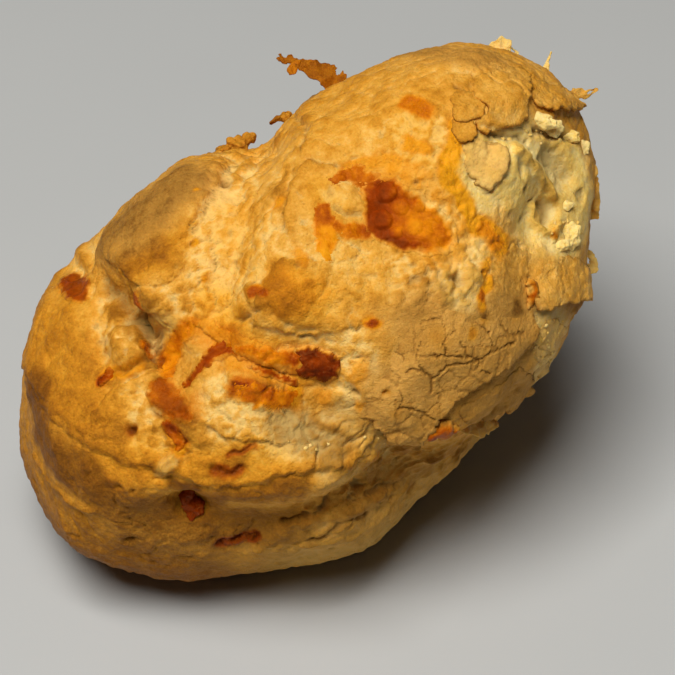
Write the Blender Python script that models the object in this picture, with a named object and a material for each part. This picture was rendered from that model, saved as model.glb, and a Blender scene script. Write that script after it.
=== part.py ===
"""A pao de queijo: an oblong, knobbly cheese bun with melted cheddar in its crust and one end torn.

The bun is modelled flat, its middle plane on XY and its face, the side with the melted cheese, toward +Z.
Lengths there are in millimetres. An empty then tips it back onto its foot, the small flat spot that it
rests on, with the face looking up toward -Y.
"""
import math
from collections import namedtuple

import bmesh
import bpy
import numpy as np
from mathutils import Vector, noise
from mathutils.bvhtree import BVHTree

MM = 0.001
TINY = 1e-6

# The loaf: radii of the middle plane's outline, every 15 degrees anticlockwise from +X
OUTLINE = (33.2, 35.2, 39.6, 41.6, 39.6, 31.8, 26.6, 23.2, 23.6, 24.6, 26.6, 28.8,
           32.8, 37.6, 40.6, 41.4, 36.8, 33.0, 31.4, 29.6, 25.6, 26.4, 27.4, 30.2)
FACE_DEPTH = 26.0
BACK_DEPTH = 29.0
FULLNESS = 2.35
GRID_CUTS = 25

# How it rests
TIP = math.radians(50.0)
FOOT_DEPTH = 27.5
FOOT_FLAT = 0.97
FOOT_SQUARENESS = 11.0

# Uneven dough: size of the lumps and how far they stand out
LUMPS = ((19.0, 1.5), (9.0, 0.7), (5.0, 0.35))

FACE = 1.0
BACK = -1.0
PATH_STEP = 1.5
LEDGE_SOFTNESS = 1.8

# A form stands out (or sinks, if its height is negative) along a path of places on one side
Form = namedtuple("Form", "side path reach height")
# A ledge is a step along a path: raised on its left, sunk on its right
Ledge = namedtuple("Ledge", "side path raised sunk fade")

FORMS = {
    "upper dome": Form(FACE, ((11.0, 22.0), (14.0, 17.0)), 11.0, 1.7),
    "top swell": Form(FACE, ((20.0, 27.0), (27.0, 27.0)), 8.0, 1.0),
    "raised patch": Form(FACE, ((1.5, 17.0), (2.0, 11.5)), 4.0, 0.9),
    "trough": Form(FACE, ((-6.5, 24.0), (-9.5, 14.5), (-10.5, 6.0), (-12.0, 0.5)), 4.2, -2.8),
    "trough crest": Form(FACE, ((-1.5, 19.0), (-4.5, 10.0), (-4.0, 2.0)), 4.5, 1.3),
    "left lobe": Form(FACE, ((-22.5, 8.5), (-16.5, 13.0)), 7.0, 2.6),
    "left knob": Form(FACE, ((-20.5, 3.2), (-17.5, 3.4)), 3.0, 0.9),
    "left crevice": Form(FACE, ((-27.5, 5.5), (-21.0, -1.2), (-18.4, -6.0)), 3.0, -2.8),
    "shoulder crest": Form(FACE, ((-30.0, 5.0), (-33.0, -4.0), (-31.5, -12.0), (-26.0, -18.0)), 3.6, 1.8),
    "pale bowl": Form(FACE, ((-24.5, -2.0), (-25.5, -8.0)), 3.8, -1.5),
    "middle swell": Form(FACE, ((-2.0, 4.5), (6.0, 1.5)), 8.0, 1.2),
    "cheese fold": Form(FACE, ((-14.5, -3.5), (-9.0, -3.0), (-3.0, -4.5), (3.0, -6.0)), 2.8, -1.2),
    "pale dome": Form(FACE, ((-9.5, -7.2), (-7.5, -7.6)), 3.0, 1.0),
    "looped fold": Form(FACE, ((-17.0, -4.0), (-16.8, -9.0), (-14.0, -10.5)), 2.8, -1.0),
    "lower lump": Form(FACE, ((-12.5, -13.5), (-3.5, -14.5)), 4.2, 1.3),
    "lower valley": Form(FACE, ((1.0, -11.0), (6.0, -15.5), (9.0, -20.0)), 3.2, -1.6),
    "front lip": Form(FACE, ((-20.0, -21.0), (-13.4, -19.4), (-6.3, -19.9), (2.0, -18.2), (5.6, -16.4)),
                      3.2, 1.9),
    "under the lip": Form(FACE, ((-20.0, -25.5), (-8.0, -24.5), (5.0, -22.0)), 3.2, -1.1),
    "lip hollow": Form(FACE, ((-15.4, -22.6), (-14.4, -22.6)), 3.0, -2.2),
    "flank fold": Form(FACE, ((-9.0, -27.0), (0.0, -24.6), (7.0, -23.5)), 3.0, -1.4),
    "lower crust": Form(FACE, ((9.0, -5.0), (20.0, -5.0)), 7.0, 0.9),
    "underside hollow": Form(FACE, ((9.0, -20.5), (19.0, -17.5), (27.0, -11.5)), 4.2, -1.8),
    "torn hollow": Form(FACE, ((24.0, 10.5), (27.5, 14.5)), 6.2, -2.4),
    "torn pit": Form(FACE, ((28.4, 13.2), (28.6, 12.2)), 2.9, -1.6),
    "crumb ridge": Form(FACE, ((22.0, 15.5), (23.0, 9.0)), 3.0, 0.8),
    "pool hollow": Form(FACE, ((12.5, 11.0), (6.0, 15.0)), 4.8, -1.1),
    "rear dome": Form(BACK, ((16.0, 16.0), (22.0, 18.0)), 11.0, 1.8),
    "rear lobe": Form(BACK, ((-15.0, 5.0), (-20.0, -3.0)), 9.0, 1.6),
    "rear trough": Form(BACK, ((0.0, 23.0), (-2.0, 12.0), (-1.0, 3.0), (6.0, -4.0)), 4.4, -2.1),
    "rear crevice": Form(BACK, ((-27.0, 9.0), (-16.0, 14.0), (-8.0, 13.0)), 3.0, -1.9),
    "rear swell": Form(BACK, ((10.0, 3.0), (17.0, 2.0)), 6.5, 1.2),
    "rear crease": Form(BACK, ((12.0, 28.0), (24.0, 12.0), (25.0, 2.0)), 3.0, -1.4),
    "belly": Form(BACK, ((-4.0, -14.0), (8.0, -13.0)), 11.0, 3.0),
}
LEDGES = {
    "crust edge": Ledge(FACE, ((2.8, -9.8), (6.5, -12.0), (10.5, -15.4), (15.5, -14.6), (22.5, -10.2),
                               (29.5, -5.0), (33.5, 2.0)), 1.4, 2.2, 4.4),
    "torn rim": Ledge(FACE, ((16.5, 15.5), (19.5, 20.8), (24.5, 22.6), (30.5, 24.5)), 1.5, 1.4, 3.6),
    "shoulder edge": Ledge(FACE, ((-30.2, -11.5), (-24.8, -17.0), (-19.0, -20.5)), 1.2, 1.4, 5.0),
    "rear crust edge": Ledge(BACK, ((30.0, 8.0), (22.0, 6.0), (12.0, 10.0), (3.0, 8.0)), 1.1, 0.9, 5.0),
}

# The three largest pieces of melted cheese, each a gap above the skin and with a blunt rim
GAP = 0.35
RIM = 0.3
POOL_CENTRE = (9.6, 12.4)
POOL_OUTLINE = (7.4, 6.4, 5.0, 4.3, 4.3, 6.0, 8.3, 5.8, 3.6, 8.4, 7.6, 4.8, 4.4, 5.8, 7.0, 7.9)
POOL_RINGS = 7
POOL_SPOKES = 32
POOL_HEIGHT = 1.3
STRAND_PATH = ((-15.2, -9.6), (-16.2, -5.8), (-13.8, -2.2), (-9.6, -3.0), (-4.6, -4.0), (0.2, -5.4),
               (3.2, -6.2))
STRAND_HALF_WIDTHS = (0.9, 1.1, 1.2, 0.9, 1.0, 2.0, 1.5)
STRAND_HEIGHT = 1.2
STRAND_STATIONS = 30
STRAND_POINTS = 7
CURL_ROOT = (3.8, 27.6, 1.0)
CURL_PATH = ((0.3, 0.1, 0.0), (-0.5, 1.4, 0.2), (-2.8, 2.1, 0.4), (-5.3, 2.6, 0.1), (-8.0, 3.6, -0.4))
CURL_HALF_WIDTHS = (1.5, 1.4, 1.1, 0.8, 0.35)
CURL_FLATNESS = 0.45
CURL_STATIONS = 13
CURL_SIDES = 8


def clear_scene():
    """Start from an empty file."""
    for item in list(bpy.data.objects):
        bpy.data.objects.remove(item, do_unlink=True)


def material(name, colour, roughness):
    """A plain Principled material."""
    made = bpy.data.materials.new(name)
    made.use_nodes = True
    shader = made.node_tree.nodes["Principled BSDF"]
    shader.inputs["Base Color"].default_value = (*colour, 1.0)
    shader.inputs["Roughness"].default_value = roughness
    shader.inputs["Metallic"].default_value = 0.0
    return made


def smooth_between(values, at, closed):
    """Catmull-Rom curve through equally spaced values, read at positions counted in steps."""
    values = np.asarray(values, float)
    count = len(values)
    first = np.floor(at).astype(int)
    if not closed:
        first = np.clip(first, 0, count - 2)
    part = at - first
    if values.ndim > 1:
        part = part[:, None]

    def value(offset):
        index = first + offset
        return values[index % count] if closed else values[np.clip(index, 0, count - 1)]

    before, here, after, beyond = (value(offset) for offset in (-1, 0, 1, 2))
    cubic = 3.0 * (here - after) + beyond - before
    square = 2.0 * before - 5.0 * here + 4.0 * after - beyond + part * cubic
    return here + 0.5 * part * (after - before + part * square)


def rim_radius(across, up):
    """Radius of the middle plane's outline in the direction of each place."""
    turn = np.arctan2(up, across) % (2.0 * math.pi)
    return smooth_between(OUTLINE, turn * len(OUTLINE) / (2.0 * math.pi), closed=True)


def plain_radius(directions):
    """Distance from the centre to the loaf's skin, before its lobes and creases, in unit directions."""
    across, up, out = directions.T
    depth = np.where(out > 0.0, FACE_DEPTH, BACK_DEPTH)
    level = (np.hypot(across, up) / rim_radius(across, up)) ** FULLNESS
    rise = (np.abs(out) / depth) ** FULLNESS
    return (level + rise) ** (-1.0 / FULLNESS)


def plain_skin(places, side):
    """Points of the plain loaf's skin straight over or under places on the middle plane."""
    places = np.asarray(places, float)
    across, up = places.T
    level = np.minimum(np.hypot(across, up) / rim_radius(across, up), 1.0)
    depth = FACE_DEPTH if side == FACE else BACK_DEPTH
    out = side * depth * (1.0 - level ** FULLNESS) ** (1.0 / FULLNESS)
    return np.column_stack((places, out))


def path_on_skin(path, side):
    """A path's points laid on the plain loaf, close together and smoothed."""
    path = np.asarray(path, float)
    if len(path) == 1:
        return plain_skin(path, side)
    length = np.linalg.norm(np.diff(path, axis=0), axis=1).sum()
    count = max(2, math.ceil(length / PATH_STEP)) + 1
    return plain_skin(smooth_between(path, np.linspace(0.0, len(path) - 1.0, count), closed=False), side)


def nearest(points, path):
    """Distance from each point to its nearest path point, and that point's index."""
    gaps = np.linalg.norm(points[:, None, :] - path[None, :, :], axis=2)
    index = gaps.argmin(axis=1)
    return gaps[np.arange(len(points)), index], index


def form_height(form, points):
    """How far a form lifts the skin at each point."""
    gap, _ = nearest(points, path_on_skin(form.path, form.side))
    return form.height * np.exp(-(gap / form.reach) ** 2)


def ledge_height(ledge, points):
    """How far a ledge lifts the skin on its left and lowers it on its right."""
    path = path_on_skin(ledge.path, ledge.side)
    gap, index = nearest(points, path)
    along = np.gradient(path, axis=0)[index]
    outward = points / np.linalg.norm(points, axis=1)[:, None]
    offset = points - path[index]
    leftward = np.einsum("ij,ij->i", np.cross(outward, along), offset)
    leftness = np.clip(leftward / np.maximum(gap * np.linalg.norm(along, axis=1), TINY), -1.0, 1.0)
    tilt = leftness * gap / (gap + LEDGE_SOFTNESS)
    return np.exp(-(gap / ledge.fade) ** 2) * np.where(tilt > 0.0, ledge.raised, ledge.sunk) * tilt


def lumpiness(points):
    """Uneven dough, as smooth noise of a few sizes."""
    total = np.zeros(len(points))
    for size, height in LUMPS:
        total += [height * noise.noise(Vector(point) / size) for point in points]
    return total


def straight_down():
    """World down, as the bun is modelled before it is tipped back."""
    return Vector((0.0, -math.sin(TIP), -math.cos(TIP)))


def skin_radius(directions):
    """Distance from the centre to the finished skin, eased toward flat where it rests."""
    radius = plain_radius(directions)
    points = directions * radius[:, None]
    radius = radius + lumpiness(points)
    radius += sum(form_height(form, points) for form in FORMS.values())
    radius += sum(ledge_height(ledge, points) for ledge in LEDGES.values())
    floor = FOOT_DEPTH / np.maximum(directions @ np.array(straight_down()), TINY)
    return (radius ** -FOOT_SQUARENESS + floor ** -FOOT_SQUARENESS) ** (-1.0 / FOOT_SQUARENESS)


def new_object(name, mesh_data, finish, parent):
    """Wrap a finished bmesh as a smooth-shaded object."""
    mesh = bpy.data.meshes.new(name)
    bmesh.ops.recalc_face_normals(mesh_data, faces=mesh_data.faces)
    mesh_data.to_mesh(mesh)
    mesh_data.free()
    mesh.shade_smooth()
    mesh.materials.append(finish)
    made = bpy.data.objects.new(name, mesh)
    made.parent = parent
    bpy.context.scene.collection.objects.link(made)
    return made


def bun_mesh():
    """A cube's grid blown up to the bun's skin, with its foot cut flat."""
    grid = bmesh.new()
    bmesh.ops.create_cube(grid, size=2.0)
    bmesh.ops.subdivide_edges(grid, edges=grid.edges[:], cuts=GRID_CUTS, use_grid_fill=True)
    corners = np.array([vertex.co for vertex in grid.verts])
    directions = np.tan(corners * math.pi / 4.0)
    directions /= np.linalg.norm(directions, axis=1)[:, None]
    skin = directions * skin_radius(directions)[:, None] * MM
    for vertex, place in zip(grid.verts, skin):
        vertex.co = place
    down = straight_down()
    everything = grid.verts[:] + grid.edges[:] + grid.faces[:]
    cut = bmesh.ops.bisect_plane(grid, geom=everything, plane_co=down * FOOT_DEPTH * FOOT_FLAT * MM,
                                 plane_no=down, clear_outer=True)
    rim = [item for item in cut["geom_cut"] if isinstance(item, bmesh.types.BMEdge)]
    bmesh.ops.contextual_create(grid, geom=rim)
    return grid


def skin_above(tree, direction, clearance):
    """The point a clearance above the modelled skin, in a direction from the bun's centre."""
    hit = tree.ray_cast(Vector((0.0, 0.0, 0.0)), direction)[0]
    return hit + direction * clearance * MM


def direction_over(place):
    """Direction from the centre to the plain skin over a place on the face."""
    return Vector(plain_skin([place], FACE)[0]).normalized()


def pool_mesh(tree):
    """The melted pool: a low blistered cake with two arms, closed under by a copy of the skin beneath."""
    pool = bmesh.new()
    shells = []
    turns = np.arange(POOL_SPOKES) * len(POOL_OUTLINE) / POOL_SPOKES
    reach = smooth_between(POOL_OUTLINE, turns, closed=True)
    for top in (True, False):
        rows = []
        for ring in range(POOL_RINGS + 1):
            inward = ring / POOL_RINGS
            crown = math.sqrt(max(1.0 - inward ** 4, 0.0))
            clearance = GAP + (RIM + POOL_HEIGHT * crown if top else 0.0)
            row = []
            for spoke in range(POOL_SPOKES if ring else 1):
                turn = 2.0 * math.pi * spoke / POOL_SPOKES
                length = reach[spoke] * inward
                place = (POOL_CENTRE[0] + length * math.cos(turn), POOL_CENTRE[1] + length * math.sin(turn))
                row.append(pool.verts.new(skin_above(tree, direction_over(place), clearance)))
            rows.append(row)
        for spoke in range(POOL_SPOKES):
            after = (spoke + 1) % POOL_SPOKES
            pool.faces.new((rows[0][0], rows[1][spoke], rows[1][after]))
            for inner, outer in zip(rows[1:], rows[2:]):
                pool.faces.new((inner[spoke], outer[spoke], outer[after], inner[after]))
        shells.append(rows)
    upper, lower = shells[0][-1], shells[1][-1]
    for spoke in range(POOL_SPOKES):
        after = (spoke + 1) % POOL_SPOKES
        pool.faces.new((upper[spoke], lower[spoke], lower[after], upper[after]))
    return pool


def strand_mesh(tree):
    """The folded strand: a rounded ribbon along its path that swells to a chunk near its end."""
    strand = bmesh.new()
    at = np.linspace(0.0, len(STRAND_PATH) - 1.0, STRAND_STATIONS)
    line = smooth_between(STRAND_PATH, at, closed=False)
    widths = smooth_between(STRAND_HALF_WIDTHS, at, closed=False)
    along = np.gradient(line, axis=0)
    aside = np.column_stack((-along[:, 1], along[:, 0])) / np.linalg.norm(along, axis=1)[:, None]
    rows = []
    for station in range(STRAND_STATIONS):
        over, under = [], []
        for step in np.linspace(-1.0, 1.0, STRAND_POINTS):
            direction = direction_over(line[station] + aside[station] * widths[station] * step)
            crown = STRAND_HEIGHT * math.sqrt(widths[station] * (1.0 - step * step))
            over.append(strand.verts.new(skin_above(tree, direction, GAP + RIM + crown)))
            under.append(strand.verts.new(skin_above(tree, direction, GAP)))
        rows.append(over + under[::-1])
    for row, following in zip(rows, rows[1:]):
        for corner in range(len(row)):
            after = (corner + 1) % len(row)
            strand.faces.new((row[corner], following[corner], following[after], row[after]))
    for end in (rows[0], rows[-1]):
        half = len(end) // 2
        for corner in range(half - 1):
            strand.faces.new((end[corner], end[corner + 1], end[-2 - corner], end[-1 - corner]))
    return strand


def curl_mesh(tree):
    """The crisp curl: a flattened tapering tube that leaves the top of the bun and sticks out."""
    curl = bmesh.new()
    root = skin_above(tree, Vector(CURL_ROOT).normalized(), GAP) / MM
    at = np.linspace(0.0, len(CURL_PATH) - 1.0, CURL_STATIONS)
    line = smooth_between(CURL_PATH, at, closed=False)
    widths = smooth_between(CURL_HALF_WIDTHS, at, closed=False)
    along = np.gradient(line, axis=0)
    rows = []
    for station in range(CURL_STATIONS):
        forward = Vector(along[station]).normalized()
        wide = forward.cross(Vector((0.0, 0.0, 1.0))).normalized()
        thick = wide.cross(forward)
        row = []
        for side in range(CURL_SIDES):
            turn = 2.0 * math.pi * side / CURL_SIDES
            offset = wide * math.cos(turn) + thick * (math.sin(turn) * CURL_FLATNESS)
            row.append(curl.verts.new((root + Vector(line[station]) + offset * widths[station]) * MM))
        rows.append(row)
    for row, following in zip(rows, rows[1:]):
        for side in range(CURL_SIDES):
            after = (side + 1) % CURL_SIDES
            curl.faces.new((row[side], following[side], following[after], row[after]))
    curl.faces.new(rows[0])
    curl.faces.new(rows[-1])
    return curl


def rest_on_foot(stand, bun):
    """Tip the empty back and shift it so that the foot is at z = 0 and the bun's box is centred over it."""
    stand.rotation_euler = (TIP, 0.0, 0.0)
    bpy.context.view_layer.update()
    corners = np.array([stand.matrix_world @ vertex.co for vertex in bun.data.vertices])
    low, high = corners.min(axis=0), corners.max(axis=0)
    stand.location = (-(low[0] + high[0]) / 2.0, -(low[1] + high[1]) / 2.0, -low[2])
    bpy.context.view_layer.update()


def main():
    clear_scene()
    stand = bpy.data.objects.new("stand", None)
    bpy.context.scene.collection.objects.link(stand)
    crust = material("baked_crust", (0.70, 0.42, 0.17), 0.62)
    cheese = material("browned_cheese", (0.50, 0.12, 0.015), 0.38)
    bun = new_object("bun", bun_mesh(), crust, stand)
    tree = BVHTree.FromObject(bun, bpy.context.evaluated_depsgraph_get())
    new_object("cheese_pool", pool_mesh(tree), cheese, stand)
    new_object("cheese_strand", strand_mesh(tree), cheese, stand)
    new_object("cheese_curl", curl_mesh(tree), cheese, stand)
    rest_on_foot(stand, bun)


main()
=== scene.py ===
"""The looks of the cheese bun: its baked skin, torn crumb, browned cheese, light and camera.

Shapes are worked out in the bun's own frame, in millimetres: across and up lie on the loaf's middle plane,
out points from it to the face, the side that is shown. The loaf stands tipped back on its foot.
"""

import itertools
import math

import bpy
import numpy as np
from mathutils import Matrix, Vector
from mathutils.bvhtree import BVHTree


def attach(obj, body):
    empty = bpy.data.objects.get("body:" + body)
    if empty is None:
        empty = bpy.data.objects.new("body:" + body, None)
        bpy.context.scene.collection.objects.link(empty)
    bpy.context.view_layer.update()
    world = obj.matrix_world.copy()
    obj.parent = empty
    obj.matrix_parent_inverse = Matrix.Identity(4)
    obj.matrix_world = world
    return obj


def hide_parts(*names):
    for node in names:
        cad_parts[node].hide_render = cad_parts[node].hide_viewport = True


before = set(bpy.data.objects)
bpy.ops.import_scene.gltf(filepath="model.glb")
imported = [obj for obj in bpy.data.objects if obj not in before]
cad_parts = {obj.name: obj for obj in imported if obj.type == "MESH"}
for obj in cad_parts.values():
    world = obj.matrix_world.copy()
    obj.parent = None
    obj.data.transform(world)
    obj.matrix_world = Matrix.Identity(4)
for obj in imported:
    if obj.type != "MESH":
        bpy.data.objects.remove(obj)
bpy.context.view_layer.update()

MM = 0.001
TINY = 1e-9
FAR = 1e3
NOISE_GAIN = 1.7
LAYER_SHIFT = 31.7
PART_SHIFT = 97.3
WHITE = (1.0, 1.0, 1.0, 1.0)
FACE = 1.0
BACK = -1.0

# The bun's own frame: where the loaf's centre stands, and how far it is tipped back
CENTRE = np.array((0.00082, -0.00117, 0.02668))
TIP = math.radians(50.0)
ACROSS = np.array((1.0, 0.0, 0.0))
UP = np.array((0.0, math.cos(TIP), math.sin(TIP)))
OUT = np.array((0.0, -math.sin(TIP), math.cos(TIP)))
AXES = np.stack((ACROSS, UP, OUT))
WORLD_UP = AXES[:, 2]
LONG_TURN = math.radians(39.0)
BROWNER_WAY = (-0.90, -0.40, 0.0)
LONG_STRETCH = 1.5

# How far outside the loaf a ray starts: over its middle plane, and over a patch on the skin
CLEAR_OF_BUN = 60.0
CLEAR_OF_SKIN = 9.0

# The camera and the light, the light in metres and watts
CAMERA_DISTANCE = 370.0
VIEW_WIDTH = 84.4
VIEW_SHIFT = (3.06, -2.56)
SENSOR = 36.0
LIGHT_PLACE = (-0.15, -0.26, 0.79)
LIGHT_AIM = (0.0, 0.0, 0.02)
LIGHT_SIZE = 0.46
LIGHT_POWER = 9.0
LIGHT_COLOUR = (1.0, 0.985, 0.96)
ROOM_LIGHT = 0.030
FLOOR_HALF = 1.2

# The skin's grid, how much finer it is on the face, and how far the frame's facets are smoothed away
GRID_CELLS = 182
FACE_SHIFT = 0.3
SMOOTHING_STEPS = 60
MOST_BROWN = 0.88

# The steps of the grids that melts and crisps are drawn on
MELT_STEP = 0.2
CRISP_STEP = 0.16


def to_own(points):
    """World metres to the bun's own millimetres."""
    return (np.asarray(points) - CENTRE) @ AXES.T / MM


def to_world(points):
    """The bun's own millimetres to world metres."""
    return np.asarray(points) * MM @ AXES + CENTRE


def unit(vectors):
    """The same vectors at length one."""
    return vectors / np.maximum(np.linalg.norm(vectors, axis=-1, keepdims=True), TINY)


def shuffled(order, corner):
    """A fixed number from 0 to 255 for each corner of a grid of whole numbers."""
    index = order[corner[:, 0] & 255]
    index = order[(index + corner[:, 1]) & 255]
    return order[(index + corner[:, 2]) & 255]


class Noise:
    """Smooth seeded noise of about -1 to 1 on arrays of points."""

    def __init__(self, seed):
        draw = np.random.default_rng(seed)
        self.order = draw.permutation(256)
        self.slopes = unit(draw.normal(size=(256, 3)))

    def __call__(self, points, size):
        cell = points / size
        base = np.floor(cell).astype(int)
        part = cell - base
        ease = part ** 3 * (part * (part * 6.0 - 15.0) + 10.0)
        total = np.zeros(len(points))
        for corner in itertools.product((0, 1), repeat=3):
            corner = np.array(corner)
            weight = np.prod(np.where(corner, ease, 1.0 - ease), axis=1)
            slopes = self.slopes[shuffled(self.order, base + corner)]
            total += weight * np.einsum("ij,ij->i", slopes, part - corner)
        return total * NOISE_GAIN

    def layered(self, points, size, layers):
        """Several layers, each half the size and strength of the last."""
        return sum(0.5 ** layer * self(points + LAYER_SHIFT * layer, size / 2 ** layer)
                   for layer in range(layers))

    def vectors(self, points, size):
        """Three independent values at each point."""
        return np.column_stack([self(points + PART_SHIFT * part, size) for part in (1, 2, 3)])


class Cells:
    """Seeded scattered points, one in each cube of space, and the distances to the nearest two."""

    def __init__(self, seed):
        draw = np.random.default_rng(seed)
        self.order = draw.permutation(256)
        self.jitter = draw.random((256, 3))
        self.value = draw.random(256)

    def __call__(self, points, size):
        cell = points / size
        base = np.floor(cell).astype(int)
        first = np.full(len(points), FAR)
        second = np.full(len(points), FAR)
        value = np.zeros(len(points))
        for corner in itertools.product((-1, 0, 1), repeat=3):
            key = base + np.array(corner)
            index = shuffled(self.order, key)
            gap = np.linalg.norm(key + self.jitter[index] - cell, axis=1)
            nearer = gap < first
            second = np.where(nearer, first, np.minimum(second, gap))
            value = np.where(nearer, self.value[index], value)
            first = np.where(nearer, gap, first)
        return first * size, second * size, value


BROAD = Noise(11)
FINE = Noise(23)
WARP = Noise(37)
CELLS = Cells(5)


def ramp(values, low, high):
    """0 below low, 1 above high, eased between."""
    part = np.clip((values - low) / (high - low), 0.0, 1.0)
    return part * part * (3.0 - 2.0 * part)


def bump(gap, reach):
    """1 at no distance, falling smoothly to nothing past about twice the reach."""
    return np.exp(-(gap / reach) ** 2)


def dome(gap):
    """1 at no distance, falling as a quarter circle to nothing at a distance of 1."""
    return np.sqrt(np.clip(1.0 - gap ** 2, 0.0, 1.0))


def read_along(share, values):
    """Values spaced evenly along a path, read at shares of its length."""
    return np.interp(share, np.linspace(0.0, 1.0, len(values)), values)


# ---- the frame's bun as something to lay paths on -------------------------------------------------

def frame_tree(name):
    """A search tree of a CAD node in the bun's own frame."""
    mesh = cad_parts[name].data
    places = np.zeros(len(mesh.vertices) * 3)
    mesh.vertices.foreach_get("co", places)
    own = to_own(places.reshape(-1, 3))
    return BVHTree.FromPolygons([Vector(p) for p in own], [tuple(f.vertices) for f in mesh.polygons])


BUN = frame_tree("bun")


def smooth_path(path, step=0.7):
    """A path through its points as a Catmull-Rom curve, with points about a step apart."""
    path = np.asarray(path, float)
    if len(path) == 1:
        return path
    length = np.linalg.norm(np.diff(path, axis=0), axis=1).sum()
    at = np.linspace(0.0, len(path) - 1.0, max(2, math.ceil(length / step)) + 1)
    first = np.clip(np.floor(at).astype(int), 0, len(path) - 2)
    part = (at - first)[:, None]
    last = len(path) - 1
    before, here, after, beyond = (path[np.clip(first + k, 0, last)] for k in (-1, 0, 1, 2))
    cubic = 3.0 * (here - after) + beyond - before
    square = 2.0 * before - 5.0 * here + 4.0 * after - beyond + part * cubic
    return here + 0.5 * part * (after - before + part * square)


def on_skin(places, side=FACE, tree=BUN):
    """Points of the bun straight over or under places on the middle plane."""
    found = []
    for across, up in places:
        hit = tree.ray_cast(Vector((across, up, side * CLEAR_OF_BUN)), Vector((0.0, 0.0, -side)))[0]
        if hit is None:
            hit = tree.find_nearest(Vector((across, up, 0.0)))[0]
        found.append(tuple(hit))
    return np.array(found)


def nearest_on(points, line):
    """For each point: its distance to a line of points, and the nearest spot, direction and stretch there."""
    near = np.full(len(points), FAR)
    foot = np.zeros_like(points)
    heading = np.zeros_like(points)
    stretch = np.zeros(len(points))
    if len(line) == 1:
        return np.linalg.norm(points - line[0], axis=1), foot + line[0], heading, stretch
    for place, (start, end) in enumerate(zip(line, line[1:])):
        along = end - start
        share = np.clip((points - start) @ along / max(along @ along, TINY), 0.0, 1.0)
        spot = start + share[:, None] * along
        gap = np.linalg.norm(points - spot, axis=1)
        closer = gap < near
        near[closer] = gap[closer]
        foot[closer] = spot[closer]
        heading[closer] = along
        stretch[closer] = place + share[closer]
    return near, foot, heading, stretch


# ---- the skin's grid -------------------------------------------------------------------------------

def cube_grid(cells):
    """An even grid over a cube blown up to a ball: unit directions and quads."""
    ticks = np.tan(np.linspace(-1.0, 1.0, cells + 1) * math.pi / 4.0)
    first, second = (part.ravel() for part in np.meshgrid(ticks, ticks, indexing="ij"))
    corner = np.arange(cells * (cells + 1)).reshape(cells, cells + 1)[:, :-1].ravel()
    quad = np.column_stack((corner, corner + cells + 1, corner + cells + 2, corner + 1))
    points, quads = [], []
    for axis in range(3):
        for side in (1.0, -1.0):
            sheet = np.empty((len(first), 3))
            sheet[:, axis] = side
            sheet[:, (axis + 1) % 3] = first
            sheet[:, (axis + 2) % 3] = second
            quads.append((quad if side > 0.0 else quad[:, ::-1]) + len(first) * len(points))
            points.append(sheet)
    points = np.concatenate(points)
    quads = np.concatenate(quads)
    _, keep, same = np.unique(np.round(points, 6), axis=0, return_index=True, return_inverse=True)
    return unit(points[keep]), same.ravel()[quads]


def grid_edges(quads):
    """Each edge of the quads once."""
    pairs = np.concatenate([quads[:, (k, (k + 1) % 4)] for k in range(4)])
    return np.unique(np.sort(pairs, axis=1), axis=0)


def spread(values, edges, steps):
    """Values averaged with their neighbours' a number of times."""
    values = np.array(values, float)
    flat = values.ndim == 1
    if flat:
        values = values[:, None]
    count = np.bincount(edges.ravel(), minlength=len(values))[:, None]
    for _ in range(steps):
        total = np.column_stack([
            np.bincount(edges[:, 0], weights=column[edges[:, 1]], minlength=len(values))
            + np.bincount(edges[:, 1], weights=column[edges[:, 0]], minlength=len(values))
            for column in values.T])
        values += 0.5 * (total / count - values)
    return values[:, 0] if flat else values


def point_normals(points, quads):
    """Unit normals at the grid's points."""
    a, b, c, d = (points[quads[:, k]] for k in range(4))
    facing = np.cross(c - a, d - b)
    total = np.zeros_like(points)
    for k in range(4):
        for axis in range(3):
            total[:, axis] += np.bincount(quads[:, k], weights=facing[:, axis], minlength=len(points))
    return unit(total)


# How soft the border of each colour is, as a share of its reach
TINT_SOFTNESS = {"brown": 1.3, "gold": 1.4, "crumb": 0.9, "matte": 1.0, "cheese": 0.8, "scorch": 0.8,
                 "painted_shade": 1.2}


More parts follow.
